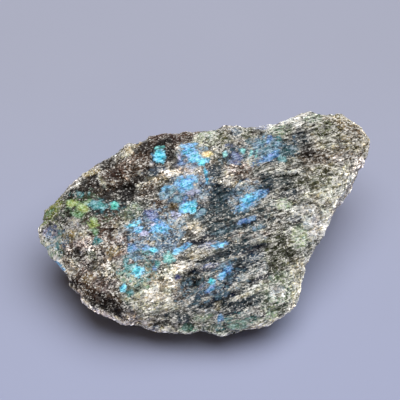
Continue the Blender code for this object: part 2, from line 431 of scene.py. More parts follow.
# %% Left end: pink-grey feldspar, green rim, dark specks
LEFT_END = (
    ("umber", -27.0, 0.5, 4.5, 6.0, 0, 0.65), ("moss", -31.5, 7.0, 5.0, 2.0, 10, 0.6),
    ("umber", -31.0, -16.5, 6.5, 3.4, -35, 0.85), ("umber", -36.5, -9.0, 2.6, 2.0, -40, 0.7),
    ("pistachio", -42.5, 1.5, 4.0, 1.2, 45, 1.0), ("lilac", -40.8, -2.6, 2.2, 1.7, 0, 1.0),
    ("celadon", -42.0, -7.0, 1.8, 3.4, -15, 0.8), ("pistachio", -40.5, 3.6, 3.6, 1.6, 45, 0.8),
    ("pine", -38.5, -8.0, 1.7, 1.5, 0, 0.7), ("ochre", -36.0, -3.5, 2.2, 1.8, 60, 0.8),
    ("frost", -34.5, 0.5, 1.8, 1.5, 0, 0.8), ("bone", -32.5, -3.0, 1.8, 1.6, 0, 0.7),
    ("moss", -37.5, 1.5, 2.4, 1.4, 40, 0.7), ("mafic", -32.5, 1.0, 2.2, 0.7, 80, 0.7),
    ("mafic", -33.5, -8.5, 1.8, 2.2, 0, 0.9), ("umber", -34.0, -14.0, 3.0, 2.2, -35, 0.8),
    ("umber", -26.0, -0.5, 3.0, 2.0, 0, 0.6), ("frost", -32.0, -7.3, 1.0, 0.8, 60, 0.9),
    ("sage", -30.0, -8.5, 1.8, 1.6, 0, 0.6), ("mafic", -27.0, -8.0, 2.2, 1.0, 80, 0.6),
    ("mafic", -24.8, -3.2, 2.6, 0.8, 85, 0.7), ("frost", -22.8, -3.0, 1.7, 1.5, 0, 0.95),
    ("slate", -19.8, -3.2, 2.0, 0.9, 85, 0.8), ("ochre", -24.0, -7.3, 2.2, 1.7, 20, 0.9),
    ("bone", -26.5, -5.5, 1.6, 1.0, 20, 0.7), ("bone", -36.0, -12.5, 3.0, 1.2, -30, 0.8),
    ("frost", -38.5, -9.8, 2.0, 0.9, -45, 0.8), ("mafic", -29.5, -12.0, 3.0, 1.0, -20, 0.6),
    ("ash", -23.0, -12.0, 2.2, 3.0, 0, 0.7), ("ochre", -30.5, -14.5, 2.0, 1.4, 0, 0.45),
    ("mafic", -34.5, -15.5, 2.4, 1.2, -40, 0.8), ("mafic", -27.0, -18.5, 1.8, 1.3, 70, 0.9),
    ("mafic", -24.5, -22.0, 3.8, 2.2, -35, 0.9), ("clay", -27.0, -16.5, 3.2, 1.4, -30, 0.6),
    ("mafic", -29.5, -20.5, 2.4, 1.0, -30, 0.85), ("rust", -19.5, -25.0, 2.4, 1.0, -15, 0.9),
    # The cream patches along the lower rim are partly pale feldspar and partly a painted highlight on a
    # bevelled edge that catches the light.
    ("cream", -31.5, -21.5, 4.0, 1.2, -40, 0.8), ("cream", -25.5, -25.4, 6.0, 1.9, -24, 1.0),
    ("cream", -17.0, -25.2, 3.6, 1.5, -15, 0.85), ("cream", -18.5, -27.4, 6.0, 1.4, -8, 0.9),
    ("umber", -26.0, 2.6, 4.5, 1.4, 0, 0.55), ("umber", -26.0, -4.2, 3.8, 3.4, 0, 0.6),
    ("frost", -40.5, -5.0, 2.4, 3.0, 0, 0.45), ("bone", -26.0, -11.2, 4.4, 2.6, 20, 0.5),
    ("bone", -35.5, -11.0, 3.0, 2.0, -40, 0.5), ("pistachio", -41.6, 3.0, 4.8, 2.4, 45, 1.0),
)

# %% Dark brow along the upper left edge
DARK_BROW = (
    ("mafic", -30.5, 10.3, 3.6, 1.6, 20, 0.8), ("mafic", -29.0, 12.3, 1.6, 1.0, 0, 0.9),
    ("mafic", -35.5, 8.0, 2.4, 1.2, 45, 0.9), ("moss", -33.0, 4.5, 5.5, 3.4, 0, 0.8),
    ("mafic", -25.5, 4.5, 5.5, 3.4, 0, 0.8), ("mafic", -26.2, 16.0, 2.4, 1.8, 20, 0.8),
    ("rust", -23.8, 13.0, 3.5, 1.6, 10, 0.6), ("mafic", -20.5, 8.6, 3.0, 2.7, 0, 1.0),
    ("mafic", -18.0, 11.0, 2.2, 1.8, 0, 0.8), ("mafic", -16.0, 20.3, 2.0, 1.5, 30, 0.8),
    ("mafic", -11.8, 17.8, 3.0, 3.4, 0, 1.0), ("mafic", -9.5, 22.2, 3.4, 1.0, 5, 1.0),
    ("rust", -5.5, 22.8, 3.6, 1.6, 0, 0.8), ("rust", -11.5, 24.2, 5.5, 1.5, 5, 0.9),
    ("umber", -4.0, 25.0, 4.5, 1.6, 5, 0.9), ("mafic", -13.5, 15.5, 2.6, 1.4, 30, 0.7),
    ("mafic", -24.5, 8.0, 2.6, 1.0, 20, 0.6), ("mafic", -21.5, 4.5, 1.0, 2.2, 0, 0.9),
    ("ochre", -30.2, 13.6, 2.6, 0.7, 18, 1.0), ("bone", -27.3, 11.0, 2.2, 0.6, -60, 0.9),
    ("bone", -20.5, 18.6, 2.0, 0.8, 32, 1.0), ("ochre", -19.5, 20.3, 3.2, 0.6, 25, 0.7),
    ("bone", -24.0, 11.0, 1.1, 0.4, 10, 0.9), ("frost", -17.0, 13.4, 0.7, 0.7, 0, 1.0),
    ("frost", -17.3, 10.2, 0.9, 0.5, 30, 0.9), ("frost", -14.0, 15.8, 0.7, 0.6, 0, 1.0),
    ("steel", -12.2, 13.6, 3.2, 1.6, 12, 0.8), ("tan", -11.5, 12.2, 5.4, 1.4, 28, 0.85),
    ("bone", -8.5, 13.4, 2.2, 0.9, 20, 0.9), ("umber", -15.0, 8.5, 2.6, 2.0, 0, 0.6),
    ("umber", -24.0, 1.8, 3.2, 1.4, -10, 0.7), ("bone", -21.5, 0.0, 3.2, 1.2, 10, 0.6),
)

# %% Middle: flashing feldspar between cream and sage
MIDDLE = (
    ("sage", -19.0, 2.8, 3.4, 2.1, 15, 0.9), ("umber", -12.2, 4.6, 2.1, 2.0, 90, 0.85),
    ("umber", -10.6, 2.2, 1.8, 1.0, -50, 0.8), ("ochre", -8.0, 4.8, 1.5, 1.0, 0, 0.9),
    ("mafic", -8.9, 18.0, 1.0, 3.0, 0, 0.9), ("frost", -6.9, 18.8, 0.7, 1.2, 0, 0.7),
    ("bone", -2.2, 12.4, 3.0, 1.0, 78, 0.95), ("frost", -4.6, 12.8, 3.4, 3.0, 20, 0.6),
    ("cream", -1.4, 12.0, 1.2, 2.6, -15, 0.9), ("cream", -7.4, 13.8, 3.4, 0.9, 12, 0.8),
    ("frost", -0.7, 6.2, 1.6, 1.1, 0, 1.0), ("bone", -2.6, -0.8, 3.4, 1.3, -5, 1.0),
    ("bone", -8.0, -0.5, 2.6, 0.9, -15, 0.9), ("frost", -5.8, 1.5, 2.0, 1.0, 10, 0.7),
    ("umber", -17.0, -4.5, 2.0, 1.1, 10, 0.7), ("ochre", -14.0, -5.0, 1.0, 0.8, 0, 0.8),
    ("steel", -9.5, -4.2, 3.6, 1.4, 20, 0.7), ("celadon", -20.3, -13.8, 2.3, 1.6, 0, 0.85),
    ("bone", -14.6, -11.4, 1.4, 1.7, 0, 0.8), ("tan", -12.2, -14.2, 3.2, 1.2, 5, 0.9),
    ("bone", -8.0, -12.4, 3.6, 1.5, 18, 0.95), ("umber", -6.0, -18.6, 2.8, 2.3, 20, 0.95),
    ("bone", -12.0, -18.5, 3.2, 1.6, 25, 0.7), ("slate", -20.0, -21.3, 1.4, 1.0, 0, 0.7),
    ("bone", -2.2, -8.6, 2.2, 1.6, 10, 1.0), ("slate", -8.6, -23.8, 2.4, 0.8, 5, 0.85),
    ("slate", -5.4, -25.0, 2.0, 1.6, 0, 0.9), ("cream", -5.5, -11.0, 3.8, 1.4, 20, 0.8),
    ("mafic", -11.3, -25.9, 2.9, 0.35, 15, 0.9), ("steel", -12.8, -27.4, 1.7, 0.7, 5, 0.8),
    ("bone", -9.8, -28.0, 2.2, 1.1, 0, 0.9), ("pine", -4.0, -27.6, 2.6, 1.4, 5, 0.9),
    ("celadon", -0.5, -24.6, 3.0, 1.2, 10, 0.7),
)

# %% Upper edge and right end: sage, olive and tan, brushed with pale streaks
RIGHT_END = (
    ("olive", 34.0, 25.0, 6.0, 3.0, 0, 0.8), ("tan", 39.0, 26.0, 4.5, 2.6, -30, 0.9),
    ("umber", 28.5, 17.5, 3.6, 2.6, 0, 0.85), ("olive", 30.5, 11.5, 6.5, 2.6, 12, 0.7),
    ("olive", 37.0, 15.5, 2.8, 2.4, 0, 0.6), ("umber", 36.5, 21.0, 2.6, 1.2, -20, 0.7),
    ("olive", 26.0, 5.0, 4.0, 1.4, 15, 0.6), ("olive", 4.6, 22.4, 2.6, 2.0, 60, 0.8),
    ("steel", 8.4, 24.6, 1.5, 1.3, 0, 0.9), ("olive", 12.0, 23.5, 2.5, 1.4, 0, 0.8),
    ("rust", 13.3, 24.2, 0.8, 0.8, 0, 0.7), ("lilac", 15.9, 25.8, 2.3, 0.7, 8, 0.9),
    ("sage", 21.0, 25.0, 3.6, 1.6, 12, 0.9), ("frost", 21.3, 27.4, 3.8, 0.7, 18, 0.9),
    ("frost", 24.7, 26.4, 0.7, 1.4, 0, 1.0), ("slate", 26.2, 22.8, 2.8, 3.0, 0, 0.8),
    ("mafic", 28.0, 19.2, 1.7, 2.1, 0, 0.85), ("sage", 29.2, 28.2, 3.0, 1.3, 10, 0.85),
    ("olive", 33.0, 25.4, 4.2, 2.0, 5, 0.85), ("tan", 38.0, 27.4, 3.8, 1.6, -15, 0.9),
    ("clay", 42.0, 23.8, 3.0, 2.0, -45, 0.7), ("rust", 41.3, 25.0, 1.0, 1.3, -40, 0.6),
    ("bone", 33.8, 20.8, 4.8, 0.45, 10, 0.9), ("umber", 32.0, 17.6, 2.1, 2.4, 0, 0.8),
    ("olive", 31.6, 14.0, 2.6, 1.8, 0, 0.6), ("clay", 38.0, 17.0, 3.4, 2.6, 0, 0.8),
    # The bone patch at 39.5 mm right lightens the right flank, partly as pale stone and partly as painted
    # light where the flank turns from the lamp.
    ("bone", 39.5, 12.5, 3.2, 5.5, -20, 1.0), ("umber", 42.0, 17.5, 1.2, 2.2, -20, 0.6),
    ("mafic", 38.6, 11.8, 1.0, 0.9, 0, 0.9), ("moss", 23.2, 11.2, 5.2, 2.2, 3, 0.75),
    ("frost", 21.6, 13.7, 4.2, 0.45, 5, 0.9), ("slate", 16.5, 10.2, 2.8, 2.8, 0, 0.9),
    ("mafic", 13.2, 15.0, 2.6, 0.5, 10, 0.8), ("umber", 9.7, 12.6, 3.4, 1.9, 5, 0.95),
    ("bone", 11.6, 16.0, 2.8, 0.9, 5, 1.0), ("bone", 9.0, 10.4, 3.2, 0.8, -5, 0.9),
    ("celadon", 6.5, 13.0, 1.5, 1.3, 0, 0.7), ("slate", 5.0, 7.2, 4.6, 3.2, 0, 1.0),
    ("slate", 3.0, 13.8, 2.0, 2.3, 0, 0.9), ("bone", 7.6, 6.0, 1.1, 0.6, 10, 0.9),
    ("slate", 22.7, 8.0, 3.0, 1.2, 5, 0.8), ("celadon", 21.0, 5.0, 2.4, 1.5, 0, 0.8),
    ("bone", 29.5, 7.2, 5.5, 1.2, 15, 0.8), ("moss", 26.5, 5.1, 2.6, 0.9, 20, 0.8),
    ("mafic", 33.0, 4.6, 2.1, 0.6, 15, 0.9), ("umber", 16.0, 3.4, 3.4, 0.7, 5, 0.9),
    # The cream patch at 39.5 mm right is partly painted light on the shaded right flank.
    ("bone", 34.0, 2.4, 3.0, 2.0, 40, 1.0), ("cream", 39.5, 10.5, 8.5, 2.0, 62, 1.0),
    ("clay", 41.0, 15.5, 2.4, 3.0, -20, 0.7), ("tan", 41.0, 25.0, 3.6, 4.4, -30, 0.9),
    ("ochre", 39.5, 27.0, 2.6, 1.4, -25, 0.6), ("slate", 19.2, 11.0, 4.8, 2.6, 10, 0.55),
    ("frost", 26.5, 2.6, 4.6, 3.4, 20, 0.55), ("tan", 41.5, 25.0, 4.0, 6.0, 40, 0.9),
    ("umber", 40.0, 25.0, 2.0, 3.6, 40, 0.6), ("clay", 9.5, 14.6, 3.8, 2.0, -10, 1.0),
    ("umber", 10.6, 14.0, 2.2, 1.1, -25, 0.7), ("cream", 6.4, 12.8, 1.9, 0.9, 12, 0.8),
    ("clay", 13.4, 11.2, 2.0, 1.2, 10, 0.7),
)

# %% Ledged lower part: dark treads with pale edges, rising to the right
# The pale thin edges here are partly painted highlights of risers that catch the lamp, and the dark night
# and slate treads partly painted shade.
LEDGED_PART = (
    ("slate", 11.5, -20.5, 5.0, 2.4, 20, 0.85), ("slate", 12.0, -8.0, 4.0, 3.0, 15, 0.7),
    ("night", 5.0, -2.2, 6.4, 0.9, 17, 1.0), ("night", 12.4, 0.4, 3.8, 1.2, 22, 0.8),
    ("night", -2.2, -5.0, 4.2, 1.0, 5, 1.0), ("slate", 7.5, -7.8, 6.8, 1.2, 12, 1.0),
    ("slate", 12.6, -8.0, 2.2, 2.5, 0, 0.9), ("slate", 9.2, -11.0, 3.2, 2.0, 0, 0.9),
    ("night", 0.3, -12.2, 6.0, 0.9, 12, 1.0), ("mafic", -2.4, -15.6, 3.8, 1.4, 10, 1.0),
    ("night", 2.7, -17.4, 6.0, 1.3, 22, 1.0), ("night", 6.0, -14.2, 4.6, 1.5, 22, 1.0),
    ("slate", 1.2, -21.5, 3.2, 1.0, 15, 0.9), ("slate", 7.6, -20.0, 3.5, 1.4, 20, 0.9),
    ("night", 9.7, -23.2, 5.2, 0.5, 8, 0.9), ("slate", 6.5, -28.2, 4.2, 0.8, -5, 0.7),
    ("moss", 22.0, -7.6, 5.4, 1.4, 10, 0.85), ("moss", 18.4, -11.3, 2.4, 2.0, 0, 0.7),
    ("moss", 20.5, -4.5, 2.0, 1.6, 30, 0.8), ("mafic", 19.0, 1.6, 3.2, 0.5, 12, 0.9),
    ("mafic", 26.0, 0.8, 3.0, 0.5, 25, 0.9), ("clay", 15.0, -3.0, 3.0, 1.0, 12, 0.8),
    ("bone", 0.0, -7.6, 3.8, 1.1, 12, 0.7), ("clay", 8.6, -3.5, 2.5, 1.5, 10, 0.95),
    ("frost", 8.8, -4.3, 1.0, 0.8, 0, 0.9), ("frost", 14.2, -4.4, 3.2, 0.5, 18, 0.9),
    ("lilac", 2.0, -5.8, 4.2, 0.9, 8, 0.6), ("frost", -2.6, -11.0, 2.4, 0.5, 0, 0.9),
    ("lilac", 3.2, -10.8, 4.2, 0.7, 10, 0.9), ("tan", 1.0, -13.3, 3.8, 0.6, 10, 0.95),
    ("clay", 3.5, -13.8, 0.9, 0.8, 0, 1.0), ("lilac", -0.3, -16.4, 1.7, 0.9, 42, 0.9),
    ("frost", 9.6, -13.6, 2.8, 0.8, -40, 0.8), ("bone", 11.6, -18.4, 6.4, 0.6, 20, 0.9),
    ("frost", 0.5, -19.7, 2.4, 0.4, 15, 1.0), ("frost", 1.0, -22.8, 3.2, 0.4, 8, 0.9),
    ("tan", 3.4, -21.2, 1.0, 2.3, 0, 0.8), ("steel", 14.0, -11.0, 2.6, 3.6, 0, 0.6),
    ("celadon", 25.4, -3.6, 2.4, 3.6, 5, 1.0), ("frost", 31.3, -0.6, 3.0, 3.4, 0, 1.0),
    ("frost", 27.5, 0.2, 1.8, 1.6, 0, 0.7), ("cream", 31.2, -0.4, 2.4, 2.8, 0, 0.6),
    ("tan", 23.8, -10.6, 2.4, 1.8, 20, 0.6), ("bone", 25.2, -12.8, 3.4, 3.0, 0, 0.7),
    ("frost", 19.4, -17.8, 2.1, 1.5, 10, 0.95), ("bone", 26.0, -18.0, 1.6, 3.6, -15, 0.9),
    ("bone", 23.8, -22.0, 2.6, 1.5, 42, 0.9), ("moss", 20.5, -22.0, 2.2, 1.2, 20, 0.7),
    ("celadon", 17.5, -24.0, 2.2, 1.3, 30, 0.9), ("bone", 15.8, -26.6, 5.8, 1.0, 17, 1.0),
    ("pine", 13.0, -25.0, 2.0, 0.9, 20, 0.6), ("frost", 12.0, -22.5, 2.6, 0.5, 20, 0.7),
    ("bone", 8.0, -16.8, 3.2, 0.4, 20, 0.7), ("night", 7.5, -0.6, 4.6, 0.8, 20, 1.0),
    ("night", 13.5, -6.6, 4.2, 1.0, 18, 0.9), ("night", 8.6, -12.6, 2.6, 1.1, 25, 1.0),
    ("night", 4.5, -19.4, 5.2, 0.7, 18, 1.0), ("night", -1.5, -9.6, 4.0, 0.5, 10, 0.9),
    ("night", 14.5, -14.5, 3.4, 0.8, 25, 0.9), ("frost", 6.0, -9.6, 5.0, 0.35, 16, 0.9),
    ("frost", 3.0, -15.9, 3.0, 0.3, 22, 0.8), ("frost", 10.0, -2.0, 4.0, 0.3, 20, 0.8),
    ("slate", 3.8, 4.2, 3.8, 2.4, 10, 0.6), ("frost", 14.0, -16.2, 4.0, 0.35, 24, 0.9),
)

# %% [markdown]
# ## Where the stone flashes
#
# A flash belongs to one grain whose layers happen to face the eye: thin layers give blue,
# thicker ones green and gold. It has one hue, ragged edges and fine lines in it. Here a flash
# is painted sheen: its hue is laid into the base colour, so it shows from every side alike.
# Flashes are laid out like the minerals, grouped by hue, and each gets a facet of its own
# later. Where two flashes overlap, the stronger field wins at each point. Glimmers are wide,
# weak areas of painted sheen where only parts of the grains pick up the hue.

# %% Flash palette
HUES = {
    "cyan": seen(66, 200, 236), "sky": seen(82, 194, 240), "azure": seen(80, 168, 228),
    "blue": seen(46, 114, 178), "indigo": seen(68, 78, 138), "teal": seen(52, 140, 144),
    "aqua": seen(112, 200, 200), "green": seen(94, 138, 78), "lime": seen(146, 170, 78),
    "gold": seen(246, 218, 146), "lilac": seen(170, 170, 212), "navy": seen(30, 44, 84),
    "turquoise": seen(60, 190, 182), "mist": seen(128, 168, 204), "steelblue": seen(84, 128, 154),
    "darkteal": seen(38, 76, 88), "pinelight": seen(92, 140, 122),
}

# %% Flashes on the face: right, up, half length, half width, turn, strength
FLASHES = {
    "steelblue": ((15.0, 21.2, 2.4, 1.9, 30, 0.8), (19.4, 21.2, 1.8, 1.7, 0, 0.8),
                  (-7.0, 6.5, 2.0, 1.5, 10, 0.8), (-1.0, 2.8, 2.1, 1.2, 45, 0.8),
                  (16.4, 19.4, 3.6, 2.0, 20, 0.7), (6.5, -10.2, 2.5, 0.8, 20, 0.5),
                  (-9.2, 8.4, 2.8, 1.4, 25, 0.8), (-18.0, -8.6, 2.0, 1.4, -30, 0.8),
                  (14.6, -1.0, 2.0, 0.8, 20, 0.6), (-12.0, -9.0, 2.2, 1.0, 20, 0.6)),
    "darkteal": ((22.6, 19.2, 2.4, 1.6, 20, 1.0), (12.0, 22.0, 1.6, 1.2, 0, 0.6),
                 (6.0, -1.8, 4.0, 0.8, 17, 0.7)),
    "blue": ((-6.0, 16.4, 1.2, 1.0, 30, 0.7), (17.4, 22.4, 0.8, 1.8, -20, 0.8),
             (17.0, 17.4, 4.6, 0.9, 24, 0.85), (15.4, 7.7, 2.0, 1.0, 25, 0.9),
             (-5.8, 6.2, 2.0, 1.2, 10, 0.7), (-12.7, 0.8, 1.3, 0.9, 0, 0.9),
             (-19.0, -6.6, 1.7, 1.2, 0, 0.9), (-13.0, -11.6, 0.8, 0.9, 0, 0.8),
             (6.2, -12.3, 1.5, 1.0, 35, 1.0), (1.6, -17.2, 1.6, 0.7, 40, 0.9),
             (11.5, 0.8, 2.8, 0.8, 20, 0.7), (4.0, -24.8, 1.0, 1.3, 0, 0.9),
             (-15.5, -6.3, 1.4, 0.8, 0, 0.6)),
    "indigo": ((8.4, 17.6, 1.8, 1.8, 0, 0.75), (7.0, 20.8, 2.0, 0.7, 0, 0.5),
               (-14.0, 2.5, 2.0, 1.3, -30, 1.0), (-7.0, -14.0, 0.8, 0.8, 0, 1.0),
               (-39.6, -0.9, 0.6, 0.5, 0, 0.9), (-16.5, -2.0, 1.2, 0.8, 0, 0.6)),
    "lilac": ((-6.6, 17.4, 0.7, 1.3, 0, 0.7), (-7.6, 2.2, 1.4, 1.2, 0, 0.7),
              (-16.0, -2.6, 1.5, 0.8, 0, 0.9), (-13.2, -0.2, 1.2, 0.8, 0, 0.7),
              (-3.0, 8.2, 2.0, 0.8, 10, 0.7), (2.0, -5.0, 1.4, 0.7, 0, 0.6)),
    "azure": ((-4.0, 19.2, 2.3, 1.8, -20, 1.0), (-3.0, 21.0, 1.5, 0.8, 10, 0.8),
              (17.6, 18.6, 3.4, 0.5, 24, 0.7), (-5.2, 10.7, 3.0, 2.0, 25, 1.0),
              (-9.8, 9.2, 2.2, 1.0, 35, 0.7), (-5.5, 3.4, 1.6, 1.0, 10, 0.7),
              (12.0, 5.8, 4.2, 1.1, 38, 0.95), (-11.8, -1.4, 2.7, 1.6, 12, 1.0),
              (-17.3, -1.8, 1.5, 1.2, 0, 0.8), (-5.0, -6.2, 1.6, 0.8, 30, 0.8),
              (4.0, -5.6, 2.2, 0.9, 8, 0.8), (-38.6, -11.5, 2.0, 0.8, -42, 1.0),
              (5.0, -13.4, 1.6, 0.8, 42, 1.0), (-15.6, -6.4, 1.0, 0.6, 0, 0.7),
              (16.0, 22.0, 0.5, 2.0, -15, 0.6), (18.0, 20.8, 1.6, 0.4, 24, 0.6)),
    "teal": ((20.8, 17.4, 1.5, 1.6, 0, 0.6), (-19.5, -18.2, 1.0, 1.0, 0, 0.7),
             (-12.4, -10.4, 1.0, 1.4, 0, 0.8), (-33.5, 7.8, 2.6, 0.9, 5, 0.55),
             (-28.2, 4.8, 2.6, 1.2, -5, 0.95), (-28.4, -4.6, 1.4, 1.2, 0, 0.8),
             (-38.8, -4.4, 0.9, 2.4, 0, 0.55), (20.0, 22.0, 1.2, 1.5, 0, 0.6),
             (-20.0, -11.0, 1.3, 1.6, 0, 0.7)),
    "pinelight": ((9.7, -26.2, 4.0, 1.3, 10, 0.65), (-4.3, -27.2, 1.6, 1.3, 0, 0.6)),
    "green": ((-33.5, 2.4, 2.2, 1.0, -15, 0.8), (-29.0, -2.0, 1.0, 1.5, 10, 0.7),
              (-31.0, 5.6, 1.4, 0.8, 20, 0.6), (-42.0, 2.2, 2.4, 0.8, 45, 0.6),
              (-14.8, -16.5, 0.6, 0.5, 0, 0.8)),
    "lime": ((-35.0, 5.3, 1.7, 1.0, 5, 1.0), (-32.2, 4.0, 1.6, 1.1, -20, 0.9),
             (-29.3, -0.2, 1.5, 1.5, 0, 0.9)),
    "turquoise": ((-12.0, 20.2, 1.5, 0.5, 5, 0.7), (-23.8, 4.8, 1.1, 1.3, 5, 1.0)),
    "aqua": ((5.5, 18.5, 0.7, 0.8, 0, 0.9), (10.4, 19.4, 0.8, 0.9, 0, 0.9),
             (12.6, 19.0, 0.5, 1.6, -10, 0.9), (14.0, 18.5, 0.5, 1.5, -10, 0.8),
             (-9.4, -9.0, 1.7, 1.8, 60, 0.85), (-18.4, -11.6, 1.2, 1.6, 0, 0.6)),
    "sky": ((-2.6, 17.5, 1.9, 1.3, 30, 1.0), (0.5, 12.7, 0.55, 2.2, 10, 0.9),
            (-4.6, 10.6, 2.4, 1.3, 28, 1.0), (-4.2, 4.3, 2.4, 1.4, 30, 1.0),
            (11.2, 6.5, 1.9, 1.1, 34, 1.0), (-12.6, -1.2, 1.8, 1.0, 14, 0.8),
            (-7.0, -7.2, 1.9, 0.9, 30, 0.8), (-18.2, -0.2, 1.6, 0.8, 20, 0.7)),
    "cyan": ((-11.9, 17.9, 1.7, 1.9, 8, 1.0), (-0.5, 16.3, 1.9, 1.0, 10, 1.0),
             (-3.0, 3.6, 1.1, 1.0, 35, 0.9), (-19.6, -0.5, 1.2, 0.6, 15, 0.8),
             (-13.4, -7.0, 1.1, 0.6, -10, 1.0), (-17.3, -12.4, 1.6, 1.7, -10, 0.85),
             (-21.2, -17.0, 0.9, 1.1, 0, 1.0), (1.9, -15.2, 1.0, 1.0, 10, 0.9),
             (4.6, -5.7, 0.9, 0.6, 20, 0.9)),
    "gold": ((1.0, 18.5, 1.6, 0.9, 0, 1.0),),
}

# %% Glimmers on the face: hue, right, up, half length, half width, turn, strength
GLIMMERS = (
    ("mist", -4.0, 8.6, 7.0, 4.6, 22, 0.66), ("mist", -2.8, 18.2, 5.0, 3.8, 0, 0.60),
    ("mist", -13.5, -3.0, 9.0, 7.5, 20, 0.55), ("aqua", -17.5, -11.5, 6.0, 5.5, 0, 0.40),
    ("green", -31.5, 3.0, 9.0, 6.0, 0, 0.30), ("teal", -25.5, 4.5, 5.5, 2.5, 0, 0.32),
    ("steelblue", 14.0, 19.4, 11.0, 3.4, 12, 0.60), ("darkteal", 8.5, 2.0, 10.5, 9.0, 20, 0.50),
    ("steelblue", 1.5, -16.5, 11.0, 5.0, 15, 0.45), ("teal", 8.5, -25.5, 7.0, 2.5, 10, 0.40),
    ("mist", 11.0, 7.0, 6.0, 4.0, 30, 0.45), ("azure", -39.0, -4.5, 4.0, 4.5, 0, 0.30),
    ("lime", -42.0, 2.6, 4.5, 2.4, 45, 0.55),
)
FACE_PATCHES = GROUNDS + LEFT_END + DARK_BROW + MIDDLE + RIGHT_END + LEDGED_PART
print(len(FACE_PATCHES), "mineral patches,",
      sum(len(places) for places in FLASHES.values()), "flashes")

# %% [markdown]
# ## Laying the patches
#
# Every point of the net gets its place as seen along the line of sight. A patch covers the
# points inside its ellipse, the noise pushes its border in and out, and surfaces that turn
# away from the viewer are left alone. The other sides of the stone have no list of their own:
# there patches are scattered by a seeded draw, stretched along the ledge line.

# %% Cover of one patch
BORDER = (1.15, 0.75)
ROUGH_BORDER = 0.55
TURNED_AWAY = (-0.05, 0.25)
seen_right, seen_up = seen_places()
facing = fade(*TURNED_AWAY, normals @ sight_towards)


def cover(right, up, half_length, half_width, turn):
    """How far each point lies out from the middle of a patch on the face, 1 at its border."""
    c, s = math.cos(math.radians(turn)), math.sin(math.radians(turn))
    x, y = seen_right - right, seen_up - up
    return np.hypot((c * x + s * y) / half_length, (c * y - s * x) / half_width)


def inked(reach, strength, rough=ROUGH_BORDER):
    """Weight of a patch at each point, from how far out the point lies."""
    return strength * fade(*BORDER, reach + rough * WANDER)


# %% Lay and scatter minerals
RICHNESS = 1.25
SCATTER_LENGTHS = (0.6, 1.6)
SCATTER_WIDTHS = (0.35, 0.8)
mineral = np.tile(PALETTE["ash"][0], (len(points), 1))
grit = np.ones(len(points))


def lay_mineral(name, weight):
    """Mix a mineral in, by a weight at each point."""
    colour, strength = PALETTE[name]
    colour = np.maximum(colour.mean() + (colour - colour.mean()) * RICHNESS, 0.0)
    mineral[:] += (colour - mineral) * weight[:, None]
    grit[:] += (strength - grit) * weight


def scattered(draw, size):
    """How far each point lies out from the middle of a patch at a random place on the skin."""
    middle = points[draw.integers(len(points))]
    length = size * draw.uniform(*SCATTER_LENGTHS)
    width = length * draw.uniform(*SCATTER_WIDTHS)
    away = points - middle
    run = away @ np.array(ALONG)
    rest = away - run[:, None] * np.array(ALONG)
    return np.hypot(run / length, np.linalg.norm(rest, axis=1) / width)


# %% [markdown]
# The broad ground comes first, in two minerals that swap with a wide noise. Then come the
# scattered patches, which the face covers with its even ash, and the given lists last.
# Small patches get calmer borders than large ones, because noise as wide as the patch would
# tear it apart. In the end all colours are driven a little away from a middle tone.

# %% Minerals over the whole stone
SCATTER_SEED = 7
SCATTERED = 150
SCATTERED_SIZE = 4.5
SCATTERED_STRENGTHS = (0.6, 0.95)
GROUND_SIZE = 13.0
GROUND_SHIFT = 41.0
GROUND_RAMP = (0.05, 0.35)
GROUND_STRENGTH = 0.8
FACE_ASH = 0.85
CALMEST_BORDER = 0.35
ROUGHER_PER_MM = 0.3
MIDDLE_TONE = 0.22
DEPTH = 1.12
SCATTER_NAMES = (
    "slate", "mafic", "clay", "steel", "bone", "olive", "umber", "sage", "moss", "ash", "ochre", "tan",
)

draw = np.random.default_rng(SCATTER_SEED)
ground = cloud(GROUND_SIZE, GROUND_SHIFT)
lay_mineral("slate", GROUND_STRENGTH * fade(*GROUND_RAMP, ground))
lay_mineral("clay", GROUND_STRENGTH * fade(*GROUND_RAMP, -ground))
for number in range(SCATTERED):
    name = SCATTER_NAMES[number % len(SCATTER_NAMES)]
    reach = scattered(draw, SCATTERED_SIZE)
    lay_mineral(name, inked(reach, draw.uniform(*SCATTERED_STRENGTHS)))
lay_mineral("ash", facing * FACE_ASH)
for name, right, up, half_length, half_width, turn, strength in FACE_PATCHES:
    rough = ROUGH_BORDER * min(1.0, CALMEST_BORDER + ROUGHER_PER_MM * half_width)
    reach = cover(right, up, half_length, half_width, turn)
    lay_mineral(name, inked(reach, strength, rough) * facing)
mineral[:] = MIDDLE_TONE * (mineral / MIDDLE_TONE) ** DEPTH
print("mean mineral colour", [round(v, 3) for v in mineral.mean(axis=0)])

# %% [markdown]
# ## Laying the flashes
#
# A flash is kept as a hue and a smooth field, 1 in its middle and 0 outside its rim. The
# material turns the field into a ragged shape. Each flash also becomes a real facet: the
# points under it are moved most of the way on to one flat plane, which is what makes it light
# up as a whole on the real stone.

# %% Lay one flash
FLASH_REACH = 1.50
FLASH_WANDER = 0.5
FACET_BORDER = (1.3, 0.7)
FACET_FLATNESS = 0.7
FACET_DEPTH = (2.5, 1.2)
FEWEST_POINTS = 3.0
hue = np.tile(HUES["azure"], (len(points), 1))
flash = np.zeros(len(points))
calm = np.zeros(len(points))


def lay_flash(name, reach, strength, mask):
    """Set the hue and the field of one flash, and flatten the skin under it."""
    reach = reach + FLASH_WANDER * WANDER
    field = strength * np.clip(FLASH_REACH - reach, 0.0, 1.0) * mask
    wins = field > flash
    hue[wins] = HUES[name]
    flash[wins] = field[wins]
    inside = fade(*FACET_BORDER, reach) * mask
    if inside.sum() > FEWEST_POINTS:
        middle = (points * inside[:, None]).sum(axis=0) / inside.sum()
        outward = (normals * inside[:, None]).sum(axis=0)
        outward /= np.linalg.norm(outward)
        height = (points - middle) @ outward
        level = FACET_FLATNESS * inside * fade(*FACET_DEPTH, np.abs(height))
        points[:] -= outward * (height * level)[:, None]
    np.maximum(calm, inside, out=calm)


